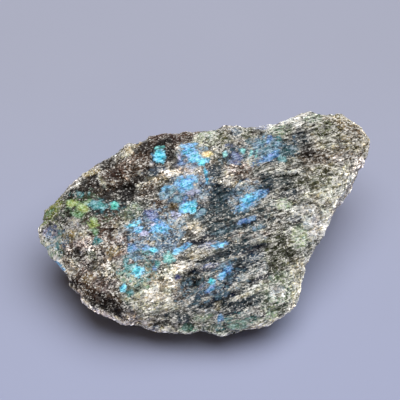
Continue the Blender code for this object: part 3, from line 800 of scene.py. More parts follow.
# %% Flashes over the whole stone
SCATTERED_FLASHES = 90
FLASH_SIZE = 2.0
FLASH_STRENGTHS = (0.6, 1.0)
SCATTER_HUES = (
    "azure", "blue", "steelblue", "cyan", "teal", "navy", "blue", "green", "indigo", "aqua",
)

behind = 1.0 - facing
for number in range(SCATTERED_FLASHES):
    name = SCATTER_HUES[number % len(SCATTER_HUES)]
    reach = scattered(draw, FLASH_SIZE)
    lay_flash(name, reach, draw.uniform(*FLASH_STRENGTHS), behind)
for name, places in FLASHES.items():
    for right, up, half_length, half_width, turn, strength in places:
        lay_flash(name, cover(right, up, half_length, half_width, turn), strength, facing)
print("flashes stronger than a half cover", round(100 * float((flash > 0.5).mean()), 1), "% of the skin")

# %% Glimmers
GLIMMER_BEHIND = 0.30
GLIMMER_BEHIND_RAMP = (0.05, 0.4)
GLIMMER_HUE_RAMP = (0.0, 0.3)
GLIMMER_CALMS = 0.6
CALMED_UP_TO = 0.7

glimmer = GLIMMER_BEHIND * fade(*GLIMMER_BEHIND_RAMP, ground) * behind
glimmer_hue = hue.copy()
for name, right, up, half_length, half_width, turn, strength in GLIMMERS:
    weight = inked(cover(right, up, half_length, half_width, turn), strength) * facing
    glimmer_hue += (HUES[name] - glimmer_hue) * fade(*GLIMMER_HUE_RAMP, weight)[:, None]
    glimmer = np.maximum(glimmer, weight)
grit *= 1.0 - GLIMMER_CALMS * np.clip(glimmer, 0.0, CALMED_UP_TO)
print("strongest glimmer", round(float(glimmer.max()), 2))

# %% [markdown]
# The ledges are strong on one side of the face and weak on the other, and a noise makes lulls
# among them. This and all the layouts are then kept as attributes of the mesh, one value for
# each point, where the trees can read them.

# %% Where the ledges are strong
LEDGES_FADE = (-8.0, 8.0)
WEAKEST_LEDGES = 0.18
LULL_DEPTH = 0.4
LULL_SIZE = 7.0
LULL_SHIFT = 61.0
LULL_RAMP = (0.0, 0.6)

in_face = (points - np.array(FACE_MIDDLE)) @ np.array(LEAN)
ledged = fade(*LEDGES_FADE, in_face @ np.array(LEDGE_SIDE))
ledged = WEAKEST_LEDGES + (1.0 - WEAKEST_LEDGES) * ledged
ledged *= 1.0 - LULL_DEPTH * fade(*LULL_RAMP, cloud(LULL_SIZE, LULL_SHIFT))
print("ledges at half strength or more on", round(100 * float((ledged > 0.5).mean())), "% of the skin")

# %% Keep the layouts on the mesh
FIELDS = {"grit": grit, "flash": flash, "calm": calm, "glimmer": glimmer, "ledged": ledged}
COLOURS = {"mineral": mineral, "flash_hue": hue, "glimmer_hue": glimmer_hue}


def keep_values(name, values):
    """Keep one number for each point as an attribute of the stone's mesh."""
    made = stone.data.attributes.new(name, "FLOAT", "POINT")
    made.data.foreach_set("value", values.astype(np.float32))


def keep_colours(name, colours):
    """Keep one colour for each point as an attribute of the stone's mesh."""
    whole = np.column_stack((colours, np.ones(len(colours)))).astype(np.float32)
    made = stone.data.attributes.new(name, "FLOAT_COLOR", "POINT")
    made.data.foreach_set("color", whole.ravel())


points[:, 2] = np.maximum(points[:, 2], 0.0)
stone.data.vertices.foreach_set("co", (points * MM).astype(np.float32).ravel())
for name, values in FIELDS.items():
    keep_values(name, values)
for name, colours in COLOURS.items():
    keep_colours(name, colours)
print("kept on the mesh:", *FIELDS, *COLOURS)

# %% [markdown]
# ## A broken surface by rule
#
# A fresh break follows two rules. Each crystal grain breaks along its own plane, so the
# surface is a mosaic of small tilted facets, and the colour inside a grain is more even than
# between grains. Across the grains run the ledges: flat treads along the main cleavage, with
# short steep risers. Rules suit Geometry Nodes: the tree moves the points of the net, draws
# the colour of each grain together, and notes where each point lies on its tread and how far
# it stands proud, which the material turns into painted light and shade.

# %% Sizes of the broken relief
RELIEF = {
    "Grain size": 2.6 * MM, "Grain tilt": 0.20, "Grit size": 1.05 * MM, "Grit tilt": 0.26,
    "Pop": 0.05 * MM, "Ledge step": 0.46 * MM, "Ledge riser": 0.22, "Ledge share": 0.95,
    "Ledge wave": 0.55 * MM, "Cross step": 0.55 * MM, "Cross share": 0.40,
    "Foot low": 0.3 * MM, "Foot high": 1.6 * MM,
}
RELIEF_WAYS = {"Ledge way": FLAT, "Cross way": CROSS}


def read_attribute(tree, name, kind="FLOAT"):
    """A named attribute of the geometry."""
    made = add(tree, "GeometryNodeInputNamedAttribute", data_type=kind)
    made.inputs["Name"].default_value = name
    return made.outputs["Attribute"]


def store(tree, geometry, name, value, kind="FLOAT"):
    """The geometry with a named attribute stored on its points."""
    made = add(tree, "GeometryNodeStoreNamedAttribute", data_type=kind, domain="POINT")
    feed(tree, made.inputs["Geometry"], geometry)
    made.inputs["Name"].default_value = name
    feed(tree, made.inputs["Value"], value)
    return made.outputs["Geometry"]


# %% Grains and ledges as sums
HALF_GREY = (0.5, 0.5, 0.5)


def grain_lift(tree, place, size, tilt):
    """Height of the tilted facet of each grain, with the grain's centre and colour."""
    scaled, centre, colour = grains(tree, place, size)
    lean = vector_calc(tree, "SUBTRACT", colour, HALF_GREY)
    inside = vector_calc(tree, "SUBTRACT", scaled, centre)
    height = calc(tree, "MULTIPLY", vector_calc(tree, "DOT_PRODUCT", lean, inside), size)
    middle = vector_calc(tree, "SCALE", centre, size)
    return calc(tree, "MULTIPLY", height, tilt), middle, parts_of(tree, colour)


def ledge_shift(tree, place, way, step, riser, wave):
    """How far ledges move a point along their way, and where on its tread it is."""
    level = calc(tree, "ADD", vector_calc(tree, "DOT_PRODUCT", place, way), wave)
    part = calc(tree, "FRACT", calc(tree, "DIVIDE", level, step))
    tread = calc(tree, "SUBTRACT", 1.0, riser)
    climb = clamped(tree, calc(tree, "DIVIDE", calc(tree, "SUBTRACT", part, tread), riser))
    rise = calc(tree, "SUBTRACT", climb, part)
    middle = calc(tree, "MULTIPLY", tread, 0.5)
    return calc(tree, "MULTIPLY", calc(tree, "ADD", rise, middle), step), part


# %% [markdown]
# The move of a point has three parts: the lift of its grain and of its smaller grit along
# the normal, a slide along the main ledges, and a slide along the crossing ones. Under a
# flash the lift is almost calm. Close to the ground every move fades out, so that the stone
# keeps its flat footing.

# %% How far the tree moves a point
CALM_EVENS = 0.8
WOBBLE_SIZE = 4.0 * MM


def grain_parts(tree, given, place):
    """The lift of each point by its grains, the grit's middle, and a tone for each grain size."""
    calmed = sloped(tree, read_attribute(tree, "calm"), -CALM_EVENS, 1.0)
    rough = calc(tree, "MULTIPLY", read_attribute(tree, "grit"), calmed)
    grain, _, grain_colour = grain_lift(tree, place, given["Grain size"], given["Grain tilt"])
    grit_part, grit_middle, grit_colour = grain_lift(tree, place, given["Grit size"], given["Grit tilt"])
    pop = centred(tree, grit_colour[1], given["Pop"])
    lift = calc(tree, "ADD", calc(tree, "ADD", grain, grit_part), pop)
    return calc(tree, "MULTIPLY", lift, rough), grit_middle, grit_colour[0], grain_colour[0]


def broken_move(tree, given, place, outward, lift):
    """The whole move of each point, and where on its tread it is."""
    wobble, _ = cloud_at(tree, place, WOBBLE_SIZE)
    wave = centred(tree, wobble, given["Ledge wave"])
    share = calc(tree, "MULTIPLY", read_attribute(tree, "ledged"), given["Ledge share"])
    move = vector_calc(tree, "SCALE", outward, lift)
    treads = {}
    for name, strength in (("Ledge", share), ("Cross", given["Cross share"])):
        way, step = given[name + " way"], given[name + " step"]
        shift, treads[name] = ledge_shift(tree, place, way, step, given["Ledge riser"], wave)
        slide = vector_calc(tree, "SCALE", way, calc(tree, "MULTIPLY", shift, strength))
        move = vector_calc(tree, "ADD", move, slide)
    foot = ramp(tree, parts_of(tree, place)[2], given["Foot low"], given["Foot high"])
    return vector_calc(tree, "SCALE", move, foot), treads["Ledge"]


# %% What the tree keeps for the material
GRAIN_COLOUR_SHARE = 0.35
# How far each point stands proud, at two sizes, for painted light on ridges and brows and painted shade
# in hollows.
SURROUNDINGS = {"ridge_bruise_and_shade": 4, "brow_light_shade": 90}


def grain_mineral(tree, geometry, grit_middle):
    """The mineral of each point, drawn towards the one at the middle of its grit."""
    own = read_attribute(tree, "mineral", "FLOAT_COLOR")
    nearest = add(tree, "GeometryNodeSampleNearest", domain="POINT")
    feed(tree, nearest.inputs["Geometry"], geometry)
    feed(tree, nearest.inputs["Sample Position"], grit_middle)
    sample = add(tree, "GeometryNodeSampleIndex", data_type="FLOAT_COLOR", domain="POINT")
    feed(tree, sample.inputs["Geometry"], geometry)
    feed(tree, sample.inputs["Value"], own)
    feed(tree, sample.inputs["Index"], nearest.outputs[0])
    return blend(tree, GRAIN_COLOUR_SHARE, own, sample.outputs[0])


def proudness(tree, place, outward, rounds):
    """How far a point stands proud of its surroundings, smoothed in some rounds, in mm."""
    blur = add(tree, "GeometryNodeBlurAttribute", data_type="FLOAT_VECTOR")
    feed(tree, blur.inputs["Value"], place)
    feed(tree, blur.inputs["Iterations"], rounds)
    away = vector_calc(tree, "SUBTRACT", place, blur.outputs[0])
    return calc(tree, "DIVIDE", vector_calc(tree, "DOT_PRODUCT", away, outward), MM)


# %% The relief tree
def build_relief():
    """The tree that breaks the surface into grains and ledges."""
    tree = bpy.data.node_groups.new("broken relief", "GeometryNodeTree")
    inputs = [("Geometry", "NodeSocketGeometry", None)]
    inputs += [(name, "NodeSocketFloat", value) for name, value in RELIEF.items()]
    inputs += [(name, "NodeSocketVector", tuple(way)) for name, way in RELIEF_WAYS.items()]
    inputs += [("Material", "NodeSocketMaterial", None)]
    start, end = group_sockets(tree, inputs, [("Geometry", "NodeSocketGeometry")])
    given = start.outputs
    place = add(tree, "GeometryNodeInputPosition").outputs[0]
    outward = add(tree, "GeometryNodeInputNormal").outputs[0]
    lift, grit_middle, grit_tone, grain_tone = grain_parts(tree, given, place)
    move, tread = broken_move(tree, given, place, outward, lift)

    colour = grain_mineral(tree, given["Geometry"], grit_middle)
    geometry = store(tree, given["Geometry"], "mineral", colour, "FLOAT_COLOR")
    for name, value in (("grit_tone", grit_tone), ("grain_tone", grain_tone), ("tread", tread)):
        geometry = store(tree, geometry, name, value)
    moved = add(tree, "GeometryNodeSetPosition")
    feed(tree, moved.inputs["Geometry"], geometry)
    feed(tree, moved.inputs["Offset"], move)
    geometry = moved.outputs[0]
    for name, rounds in SURROUNDINGS.items():
        geometry = store(tree, geometry, name, proudness(tree, place, outward, rounds))

    whole = add(tree, "GeometryNodeRealizeInstances")
    feed(tree, whole.inputs["Geometry"], geometry)
    dressed = add(tree, "GeometryNodeSetMaterial")
    feed(tree, dressed.inputs["Geometry"], whole.outputs[0])
    feed(tree, dressed.inputs["Material"], given["Material"])
    feed(tree, end.inputs["Geometry"], dressed.outputs[0])
    return tree


relief = build_relief()
print("relief tree:", len(relief.nodes), "nodes")

# %% [markdown]
# ## Speckle, lines and flash as shader groups
#
# Four effects make up the finish. Each is a node group with named inputs, so that it can be
# tried with other values on another stone. The first gives a random tone and a random tilt
# to crystals too small for the net.

# %% Group: crystal speckle
def cleavage_place(tree, given):
    """A place measured along the ledge line in lengths and across it in widths."""
    axes = add(tree, "ShaderNodeCombineXYZ")
    for socket, way, unit in zip(axes.inputs, (ALONG, FLAT, CROSS), ("Length", "Width", "Width")):
        run = vector_calc(tree, "DOT_PRODUCT", given["Position"], tuple(way))
        feed(tree, socket, calc(tree, "DIVIDE", run, given[unit]))
    return axes.outputs[0]


def pattern_group(name, values, outputs):
    """A shader group that takes a position and some plain values: its tree and its two ends."""
    tree = bpy.data.node_groups.new(name, "ShaderNodeTree")
    inputs = [("Position", "NodeSocketVector", None)]
    inputs += [(given, "NodeSocketFloat", value) for given, value in values.items()]
    start, end = group_sockets(tree, inputs, outputs)
    return tree, start.outputs, end.inputs


def build_speckle():
    """Irregular crystals, each with two tones and a tilt of its own, drawn out if longer than wide."""
    tree, given, results = pattern_group(
        "crystal speckle", {"Length": 0.7 * MM, "Width": 0.7 * MM, "Raggedness": 0.6},
        [("Tone", "NodeSocketFloat"), ("Second tone", "NodeSocketFloat"), ("Tilt", "NodeSocketVector")])
    spot = cleavage_place(tree, given)
    _, ragged = cloud_at(tree, spot, 1.0, 1.0)
    reach = calc(tree, "MULTIPLY", given["Raggedness"], 2.0)
    push = vector_calc(tree, "SCALE", vector_calc(tree, "SUBTRACT", ragged, HALF_GREY), reach)
    _, _, colour = grains(tree, vector_calc(tree, "ADD", spot, push), 1.0)
    parts = parts_of(tree, colour)
    feed(tree, results["Tone"], parts[0])
    feed(tree, results["Second tone"], parts[1])
    feed(tree, results["Tilt"], vector_calc(tree, "SUBTRACT", colour, HALF_GREY))
    return tree


speckle_group = build_speckle()

# %% [markdown]
# The second draws the fine parallel lines of the cleavage. They are noise that is measured
# along the ledge line in long units and across it in short ones, so the same pattern runs
# through the whole stone and shows on every side at the right angle.

# %% Group: cleavage lines
def build_striae():
    """Fine lines along the ledge line, 0 to 1."""
    tree, given, results = pattern_group(
        "cleavage lines", {"Length": 6.0 * MM, "Width": 0.6 * MM, "Contrast": 2.2},
        [("Line", "NodeSocketFloat")])
    value, _ = cloud_at(tree, cleavage_place(tree, given), 1.0, 3.0)
    away = centred(tree, value, given["Contrast"])
    feed(tree, results["Line"], clamped(tree, calc(tree, "ADD", away, 0.5)))
    return tree


striae_group = build_striae()

# %% [markdown]
# The third draws pale frosted lines, partly where a crack or a bruised grain edge scatters light
# and partly as painted highlights along lit edges.
# They follow the places where smooth noise passes its middle value, which makes thin, curved
# and endless lines, and a second noise breaks them up.

# %% Group: frosted lines
FROST_BREAKS = (0.40, 0.54)


def build_frost():
    """Thin pale curved lines, 0 to 1."""
    tree, given, results = pattern_group(
        "frosted lines", {"Length": 2.6 * MM, "Width": 1.3 * MM, "Thickness": 0.07},
        [("Line", "NodeSocketFloat")])
    value, colour = cloud_at(tree, cleavage_place(tree, given), 1.0, 2.0)
    off = calc(tree, "ABSOLUTE", calc(tree, "SUBTRACT", value, 0.5))
    line = ramp(tree, off, given["Thickness"], 0.0)
    kept = ramp(tree, parts_of(tree, colour)[2], *FROST_BREAKS)
    feed(tree, results["Line"], calc(tree, "MULTIPLY", line, kept))
    return tree


frost_group = build_frost()

# %% [markdown]
# The fourth makes a flash out of its field and hue. A tone and lines eat into its rim, which
# leaves a ragged shape, and both run through it as light and shade. The hue drifts a little
# from crystal to crystal, is deeper in the shade and at the rim, and paler in the glare.

# %% Group: colour flash
RIM_AFTER_CHEWING = (0.12, 0.70)
RIM_OF_FIELD = (0.05, 0.35)
LINE_LIGHT = (0.80, 0.60)
TONE_LIGHT = (1.0, 0.52)
HEART_LIGHT = (0.2, 1.1, 0.75, 1.25)
HUE_DRIFT = 0.05
HUE_MIDDLE = 0.494
RIM_SATURATION = (0.4, 1.0, 0.78, 1.0)
SHADE_RANGE = (0.9, 0.45)
SHADED_RIM = (0.75, 0.25)
SHADE_SHARE = 0.65
SHADE_TINT = (0.50, 0.70, 0.88)
GLARE_RANGE = (1.15, 1.8)
GLARE_SHARE = 0.35
GLARE_COLOUR = (0.80, 0.88, 1.0, 1.0)
FLASH_INPUTS = {"Field": 0.0, "Tone": 0.5, "Line": 0.5, "Drift": 0.5, "Raggedness": 0.7, "Glow": 1.0}


def flash_mask(tree, given):
    """Where a flash shows: its field, chewed at the rim by its tone and lines."""
    chew = calc(tree, "ADD", centred(tree, given["Line"], 0.5), centred(tree, given["Tone"], 1.0))
    chewed = sloped(tree, chew, given["Raggedness"], given["Field"])
    rim = ramp(tree, given["Field"], *RIM_OF_FIELD)
    return calc(tree, "MULTIPLY", ramp(tree, chewed, *RIM_AFTER_CHEWING), rim)


def build_flash():
    """Colour and mask of a flash."""
    tree = bpy.data.node_groups.new("colour flash", "ShaderNodeTree")
    inputs = [("Hue", "NodeSocketColor", None)]
    inputs += [(name, "NodeSocketFloat", value) for name, value in FLASH_INPUTS.items()]
    start, end = group_sockets(
        tree, inputs, [("Color", "NodeSocketColor"), ("Mask", "NodeSocketFloat")])
    given = start.outputs
    light = sloped(tree, given["Line"], *LINE_LIGHT)
    light = calc(tree, "MULTIPLY", light, sloped(tree, given["Tone"], *TONE_LIGHT))
    heart = ramp(tree, given["Field"], *HEART_LIGHT)
    light = calc(tree, "MULTIPLY", light, calc(tree, "MULTIPLY", given["Glow"], heart))
    drifted = add(tree, "ShaderNodeHueSaturation")
    turn = calc(tree, "ADD", centred(tree, given["Drift"], HUE_DRIFT), HUE_MIDDLE)
    feed(tree, drifted.inputs["Hue"], turn)
    feed(tree, drifted.inputs["Saturation"], ramp(tree, given["Field"], *RIM_SATURATION))
    feed(tree, drifted.inputs["Color"], given["Hue"])
    lit = vector_calc(tree, "SCALE", drifted.outputs[0], light)
    deep = calc(tree, "MAXIMUM", ramp(tree, light, *SHADE_RANGE), ramp(tree, given["Field"], *SHADED_RIM))
    shaded = vector_calc(tree, "MULTIPLY", lit, SHADE_TINT)
    lit = blend(tree, calc(tree, "MULTIPLY", deep, SHADE_SHARE), lit, shaded)
    pale = calc(tree, "MULTIPLY", ramp(tree, light, *GLARE_RANGE), GLARE_SHARE)
    feed(tree, end.inputs["Color"], blend(tree, pale, lit, GLARE_COLOUR))
    feed(tree, end.inputs["Mask"], flash_mask(tree, given))
    return tree


flash_group = build_flash()
shader_groups = (speckle_group, striae_group, frost_group, flash_group)
print("shader groups:", [group.name for group in shader_groups])

# %% [markdown]
# ## The finish of the stone
#
# The finish draws on patterns of several sizes. Coarse and fine crystals are nearly as wide
# as they are long, while slivers and threads are drawn out along the ledge line. Cracks and
# hairs are both frosted lines. Silk is smooth, because the light inside a flash changes
# slowly. Blotches and evenness make whole areas lighter, or their speckle weaker.

# %% Patterns of the finish
COARSE = {"Length": 0.90 * MM, "Width": 0.80 * MM, "Raggedness": 0.6}
FINE = {"Length": 0.37 * MM, "Width": 0.32 * MM, "Raggedness": 0.5}
SLIVERS = {"Length": 1.90 * MM, "Width": 0.36 * MM, "Raggedness": 0.7}
THREADS = {"Length": 2.60 * MM, "Width": 0.34 * MM, "Contrast": 3.0}
CRACKS = {"Length": 2.40 * MM, "Width": 1.10 * MM, "Thickness": 0.05}
HAIRS = {"Length": 3.00 * MM, "Width": 0.70 * MM, "Thickness": 0.08}
SILK_SIZE = 1.2 * MM
SILK_RANGE = (0.30, 0.70)
BLOTCH_SIZE = 4.0 * MM


def placed(tree, group, **values):
    """A group placed in a material, with its inputs set."""
    made = add(tree, "ShaderNodeGroup", node_tree=group)
    for name, value in values.items():
        feed(tree, made.inputs[name], value)
    return made.outputs


def skin_value(tree, name, output="Fac"):
    """An attribute of the skin."""
    return add(tree, "ShaderNodeAttribute", attribute_name=name).outputs[output]


def finish_patterns(tree):
    """The patterns of the finish, by name."""
    place = add(tree, "ShaderNodeTexCoord").outputs["Object"]
    silk, _ = cloud_at(tree, place, SILK_SIZE)
    blotch, patchy = cloud_at(tree, place, BLOTCH_SIZE)
    patchy = parts_of(tree, patchy)
    return {
        "coarse": placed(tree, speckle_group, Position=place, **COARSE),
        "fine": placed(tree, speckle_group, Position=place, **FINE),
        "slivers": placed(tree, speckle_group, Position=place, **SLIVERS),
        "threads": placed(tree, striae_group, Position=place, **THREADS)["Line"],
        "cracks": placed(tree, frost_group, Position=place, **CRACKS)["Line"],
        "hairs": placed(tree, frost_group, Position=place, **HAIRS)["Line"],
        "silk": ramp(tree, silk, *SILK_RANGE),
        "blotch": blotch, "evenness": patchy[0], "rosiness": patchy[1],
    }


# %% [markdown]
# How far a crystal is lighter or darker than its mineral is one number, its spread, so that
# every few tenths of a millimetre differ, as on a real break. Crystals of all sizes add to
# it, and slivers do so mostly on the ledges. The edge at the end of each tread gets a painted
# highlight, as if it caught the lamp. Points that stand proud of their close surroundings get
# lighter, partly because broken edges are bruised pale and partly as painted light; proud
# brows get painted light too, and hollows get painted shade.

# %% Spread of the tones
SPREAD = {
    "blotch": 1.8, "coarse": 0.7, "fine": 3.4, "slivers": 2.6, "grit_tone": 0.7, "grain_tone": 0.5,
    "lit_ledge_edge": 0.8, "ridge_bruise_and_shade": 4.0, "brow_light_shade": 0.9, "ledged": -0.25,
}
EVENNESS = (0.38, 0.60, 0.22, 1.12)
LOOSE_ON_LEDGES = (-0.58, 1.08)
LIT_LEDGE_EDGE = (0.60, 0.80)
LIT_LEDGE_EDGE_GAPS = (0.35, 0.60)
BROW_LIGHT_SHADE_LIMITS = (-0.6, 0.9)
SPREAD_BY_GRIT = (0.80, 0.25)


def crystal_spread(tree, patterns):
    """How far each crystal is lighter, above 0, or darker, below 0, than its mineral."""
    grit_here, ledged_here = skin_value(tree, "grit"), skin_value(tree, "ledged")
    loose = calc(tree, "MULTIPLY", grit_here, ramp(tree, patterns["evenness"], *EVENNESS))
    loose = calc(tree, "MULTIPLY", loose, sloped(tree, ledged_here, *LOOSE_ON_LEDGES))
    spread = centred(tree, patterns["blotch"], SPREAD["blotch"])
    for name, share in (("coarse", loose), ("fine", loose), ("slivers", ledged_here)):
        reach = calc(tree, "MULTIPLY", share, SPREAD[name])
        spread = calc(tree, "ADD", spread, centred(tree, patterns[name]["Tone"], reach))
    for name in ("grit_tone", "grain_tone"):
        spread = calc(tree, "ADD", spread, centred(tree, skin_value(tree, name), SPREAD[name]))
    # Painted highlight along the edge at the end of each tread on the ledges.
    lit_ledge_edge = ramp(tree, skin_value(tree, "tread"), *LIT_LEDGE_EDGE)
    broken = ramp(tree, patterns["slivers"]["Second tone"], *LIT_LEDGE_EDGE_GAPS)
    lit_ledge_edge = calc(tree, "MULTIPLY", calc(tree, "MULTIPLY", lit_ledge_edge, broken), ledged_here)
    spread = sloped(tree, lit_ledge_edge, SPREAD["lit_ledge_edge"], spread)
    # Proud points lighter, partly bruised pale edges and partly painted light; hollows darker as painted
    # shade.
    spread = sloped(tree, skin_value(tree, "ridge_bruise_and_shade"), SPREAD["ridge_bruise_and_shade"], spread)
    brow_light_shade = calc(tree, "MULTIPLY", skin_value(tree, "brow_light_shade"), SPREAD["brow_light_shade"])
    spread = calc(tree, "ADD", spread, clamped(tree, brow_light_shade, *BROW_LIGHT_SHADE_LIMITS))
    spread = sloped(tree, ledged_here, SPREAD["ledged"], spread)
    return calc(tree, "MULTIPLY", spread, sloped(tree, grit_here, *SPREAD_BY_GRIT))


# %% [markdown]
# The tone doubles with every 0.7 of the spread. Crystals also differ in warmth, and wider
# areas in a green or rosy tint. The palest crystals lose their colour, as powdered rock does.

# %% Colour of the crystals
LUMINANCE = (0.3, 0.6, 0.1)
TONE_MIDDLE = 0.365
TONE_DEPTH = 1.42
COOL = (0.83, 0.98, 1.18, 1.0)
WARM = (1.10, 1.03, 0.83, 1.0)
ROSINESS = (0.35, 0.65, 0.2, 1.0)
ROSINESS_ON_LEDGES = -0.5
GREENISH = (0.96, 1.03, 0.98, 1.0)
ROSY = (1.06, 0.97, 1.02, 1.0)
PALEST = (1.0, 0.985, 0.965)
PALEST_RANGE = (0.3, 1.3, 0.0, 0.6)


def crystal_colour(tree, patterns, spread):
    """The mineral of each crystal in its own tone and tint."""
    tone = calc(tree, "MULTIPLY", calc(tree, "SUBTRACT", spread, TONE_MIDDLE), TONE_DEPTH)
    tone = calc(tree, "POWER", 2.0, tone)
    warmth = blend(tree, patterns["coarse"]["Second tone"], COOL, WARM)
    rosy = ramp(tree, patterns["rosiness"], *ROSINESS)
    rosy = sloped(tree, skin_value(tree, "ledged"), ROSINESS_ON_LEDGES, rosy)
    tint = blend(tree, rosy, GREENISH, ROSY)
    base = vector_calc(tree, "MULTIPLY", skin_value(tree, "mineral", "Color"), warmth)
    base = vector_calc(tree, "SCALE", vector_calc(tree, "MULTIPLY", base, tint), tone)
    bright = vector_calc(tree, "DOT_PRODUCT", base, LUMINANCE)
    bleached = vector_calc(tree, "SCALE", PALEST, bright)
    return blend(tree, ramp(tree, spread, *PALEST_RANGE), base, bleached)


# %% [markdown]
# Glimmers and flashes use the same group, and both are painted sheen laid into the base
# colour. Silk gives both their slow light and shade, threads their fine lines, and the fine
# crystals make them shimmer.

# %% Flashes over the crystals
SHIMMER = (0.70, 0.76)
GLIMMER_GLOW = 0.75
GLIMMER_RAGGEDNESS = 0.8
GLIMMER_SHARE = (0.1, 0.4, 0.0, 0.66)
FLASH_RAGGEDNESS = 0.5
FLASH_SHARE = 0.94


def sheen(tree, patterns, name, raggedness, glow):
    """One layer of sheen, from the field and the hue that are kept under a name."""
    return placed(
        tree, flash_group, Hue=skin_value(tree, name + "_hue", "Color"),
        Field=skin_value(tree, name), Tone=patterns["silk"], Line=patterns["threads"],
        Drift=patterns["coarse"]["Second tone"], Raggedness=raggedness, Glow=glow)


def lay_sheen(tree, patterns, base):
    """The base with glimmers and flashes on it, and the masks of both."""
    shimmer = sloped(tree, patterns["fine"]["Tone"], *SHIMMER)
    glow = calc(tree, "MULTIPLY", shimmer, GLIMMER_GLOW)
    weak = sheen(tree, patterns, "glimmer", GLIMMER_RAGGEDNESS, glow)
    share = ramp(tree, skin_value(tree, "glimmer"), *GLIMMER_SHARE)
    share = calc(tree, "MULTIPLY", weak["Mask"], share)
    base = blend(tree, share, base, weak["Color"])
    strong = sheen(tree, patterns, "flash", FLASH_RAGGEDNESS, shimmer)
    base = blend(tree, calc(tree, "MULTIPLY", strong["Mask"], FLASH_SHARE), base, strong["Color"])
    return base, share, strong["Mask"]


# %% [markdown]
# Three kinds of marks come last. Frosted lines are partly real pale cracks and partly painted
# highlights along lit edges, and they are weaker on dark minerals. Sparks are painted glints:
# single fine crystals turned pale as if they caught the lamp. Pits are painted shade: single
# fine crystals turned near black like the shade in tiny holes. All three are weaker on the
# flashes, where the surface is smooth.

# %% Frost, painted glints and painted pit shade
STILL_ON_GLIMMERS = 0.35
STILL = (-0.75, 1.0)
FROST_AND_HIGHLIGHT_COLOUR = (0.90, 0.88, 0.85, 1.0)
FROST_BY_LIGHT = (0.02, 0.13, 0.16, 1.0)
FROST_BY_SPREAD = (-0.9, 0.3, 0.40, 0.95)
# Sparks are painted glints: pale crystals that stand for light caught by tiny facets.
GLINT_PAINT_COLOUR = (0.90, 0.87, 0.84, 1.0)
GLINT_PAINT_RANGE = (0.90, 0.94)
GLINT_PAINT_BY_SPREAD = 0.14
GLINT_PAINT_BY_LIGHT = (0.01, 0.10, 0.42, 0.85)
MORE_GLINT_PAINT_IN_DARK = (0.01, 0.08, 0.06, 0.0)
LESS_GLINT_PAINT_ON_LEDGES = (-0.8, 1.0)
# Pits are painted shade: near-black crystals that stand for the shade in tiny holes.
PIT_SHADE_COLOUR = (0.012, 0.011, 0.012, 1.0)
PIT_SHADE_RANGE = (0.155, 0.10)
PIT_SHADE_BY_SPREAD = 0.10
PIT_SHADE_ON_FLASHES = (-0.5, 0.85)
PIT_SHADE_ON_LEDGES = (-0.5, 1.0)


def lay_marks(tree, patterns, base, spread, glimmers, flashes):
    """The base with frosted lines, painted glints and the painted shade of pits on it."""
    ledged_here, picked = skin_value(tree, "ledged"), patterns["fine"]["Second tone"]
    light = vector_calc(tree, "DOT_PRODUCT", skin_value(tree, "mineral", "Color"), LUMINANCE)
    lit = calc(tree, "MAXIMUM", flashes, calc(tree, "MULTIPLY", glimmers, STILL_ON_GLIMMERS))
    still = sloped(tree, lit, *STILL)

    # Frosted lines: partly real pale cracks, partly painted highlights along lit ledge edges.
    hairs = calc(tree, "MULTIPLY", patterns["hairs"], ledged_here)
    frost = calc(tree, "MAXIMUM", patterns["cracks"], hairs)
    frost = calc(tree, "MULTIPLY", frost, ramp(tree, spread, *FROST_BY_SPREAD))
    shown = calc(tree, "MULTIPLY", ramp(tree, light, *FROST_BY_LIGHT), still)
    base = blend(tree, calc(tree, "MULTIPLY", frost, shown), base, FROST_AND_HIGHLIGHT_COLOUR)

    # Painted glints on single fine crystals.
    more = ramp(tree, light, *MORE_GLINT_PAINT_IN_DARK)
    more = calc(tree, "MULTIPLY", more, sloped(tree, ledged_here, *LESS_GLINT_PAINT_ON_LEDGES))
    sought = calc(tree, "ADD", sloped(tree, spread, GLINT_PAINT_BY_SPREAD, picked), more)
    painted_glint = calc(tree, "MULTIPLY", ramp(tree, sought, *GLINT_PAINT_RANGE), still)
    painted_glint = calc(tree, "MULTIPLY", painted_glint, ramp(tree, light, *GLINT_PAINT_BY_LIGHT))
    base = blend(tree, painted_glint, base, GLINT_PAINT_COLOUR)

    # Painted shade of tiny pits on single fine crystals.
    pit_shade = ramp(tree, sloped(tree, spread, PIT_SHADE_BY_SPREAD, picked), *PIT_SHADE_RANGE)
    pit_shade = calc(tree, "MULTIPLY", pit_shade, sloped(tree, flashes, *PIT_SHADE_ON_FLASHES))
    pit_shade = calc(tree, "MULTIPLY", pit_shade, sloped(tree, ledged_here, *PIT_SHADE_ON_LEDGES))
    return blend(tree, pit_shade, base, PIT_SHADE_COLOUR)


# %% [markdown]
# Fresh cleavage is glassy while the grainy parts are duller, so each coarse crystal has a
# roughness of its own and flashes are smoother. Each crystal also leans its normal to its
# own side, which makes it sparkle alone. The feldspar's refraction is the same all over.

# %% Build the finish
ROUGHNESS = (0.30, 0.26)
SMOOTHER_FLASHES = -0.12
COARSE_TILT = 0.40
FINE_TILT = 0.60
CALM_TILT = (-0.6, 1.0)
REFRACTION = 1.56
SPECULAR = 0.15


def lean_normal(tree, patterns):
    """The normal of the skin, leant by the tilt of each crystal."""
    tilt = vector_calc(tree, "ADD", vector_calc(tree, "SCALE", patterns["coarse"]["Tilt"], COARSE_TILT),
                       vector_calc(tree, "SCALE", patterns["fine"]["Tilt"], FINE_TILT))
    tilt = vector_calc(tree, "SCALE", tilt, sloped(tree, skin_value(tree, "calm"), *CALM_TILT))
    outward = add(tree, "ShaderNodeNewGeometry").outputs["Normal"]
    return vector_calc(tree, "NORMALIZE", vector_calc(tree, "ADD", outward, tilt))


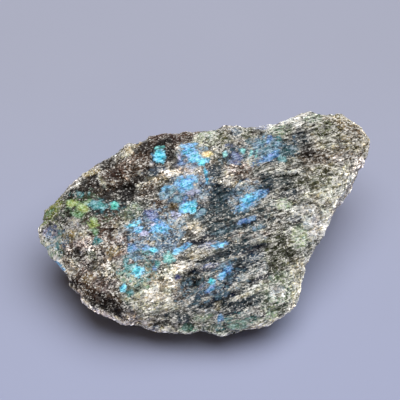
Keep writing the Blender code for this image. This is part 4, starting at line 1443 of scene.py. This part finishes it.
def build_finish():
    """The material of the whole stone."""
    material = bpy.data.materials.new("labradorite")
    material.use_nodes = True
    tree = material.node_tree
    shader = tree.nodes["Principled BSDF"]
    patterns = finish_patterns(tree)
    spread = crystal_spread(tree, patterns)
    base = crystal_colour(tree, patterns, spread)
    base, glimmers, flashes = lay_sheen(tree, patterns, base)
    base = lay_marks(tree, patterns, base, spread, glimmers, flashes)
    rough = sloped(tree, patterns["coarse"]["Second tone"], *ROUGHNESS)
    feed(tree, shader.inputs["Base Color"], base)
    feed(tree, shader.inputs["Roughness"], sloped(tree, flashes, SMOOTHER_FLASHES, rough))
    feed(tree, shader.inputs["Normal"], lean_normal(tree, patterns))
    shader.inputs["IOR"].default_value = REFRACTION
    shader.inputs["Specular IOR Level"].default_value = SPECULAR
    return material


finish = build_finish()
print("finish:", len(finish.node_tree.nodes), "nodes")

# %% [markdown]
# ## Break the surface
#
# The tree's inputs are set by their identifiers, since names may repeat. The result is
# turned into a plain mesh, so that nothing of the modifier is left on the piece.

# %% Run the relief
def set_inputs(modifier, tree, values):
    """Set a modifier's inputs, found by name, through their identifiers."""
    for item in tree.interface.items_tree:
        if item.item_type == "SOCKET" and item.in_out == "INPUT" and item.name in values:
            modifier[item.identifier] = values[item.name]


breaking = stone.modifiers.new("broken relief", "NODES")
breaking.node_group = relief
ways = {name: tuple(way) for name, way in RELIEF_WAYS.items()}
set_inputs(breaking, relief, {**RELIEF, **ways, "Material": finish})
stone.data = baked(stone)
stone.data.name = "labradorite_stone"
triangles = sum(len(face.vertices) - 2 for face in stone.data.polygons)
print("broken skin:", triangles, "triangles")

# %% [markdown]
# ## The floor
#
# The stone lies on a plain matt card, pale with a touch of lavender. It is painted a little
# greyer and darker towards the back, as painted falloff of the light. It is wide enough to
# fill the view from any side. A very faint mottle keeps it from being one flat colour.

# %% Lay the floor
FLOOR_REACH = 3.0
# Painted falloff of the light: bluer and a shade lighter near the front, greyer at the back.
FLOOR_NEAR = (0.425, 0.458, 0.660, 1.0)
FLOOR_FAR = (0.430, 0.448, 0.580, 1.0)
FLOOR_BLEND = (-70 * MM, 90 * MM)
MOTTLE_SIZE = 60.0 * MM
MOTTLE = (0.06, 0.97)
FLOOR_ROUGHNESS = 0.75
FLOOR_SPECULAR = 0.2


def build_card():
    """The material of the floor."""
    material = bpy.data.materials.new("lavender card")
    material.use_nodes = True
    tree = material.node_tree
    place = add(tree, "ShaderNodeTexCoord").outputs["Object"]
    mottle, _ = cloud_at(tree, place, MOTTLE_SIZE)
    colour = blend(tree, ramp(tree, parts_of(tree, place)[1], *FLOOR_BLEND), FLOOR_NEAR, FLOOR_FAR)
    shader = tree.nodes["Principled BSDF"]
    colour = vector_calc(tree, "SCALE", colour, sloped(tree, mottle, *MOTTLE))
    feed(tree, shader.inputs["Base Color"], colour)
    shader.inputs["Roughness"].default_value = FLOOR_ROUGHNESS
    shader.inputs["Specular IOR Level"].default_value = FLOOR_SPECULAR
    return material


floor_mesh = bpy.data.meshes.new("floor")
corners = [(x * FLOOR_REACH, y * FLOOR_REACH, 0.0) for x, y in ((-1, -1), (1, -1), (1, 1), (-1, 1))]
floor_mesh.from_pydata(corners, [], [(0, 1, 2, 3)])
floor = bpy.data.objects.new("floor", floor_mesh)
floor.data.materials.append(build_card())
bpy.context.scene.collection.objects.link(floor)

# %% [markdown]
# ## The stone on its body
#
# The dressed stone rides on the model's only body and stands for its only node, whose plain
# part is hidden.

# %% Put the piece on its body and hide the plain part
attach(stone, "root")
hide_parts(STONE_NODE)
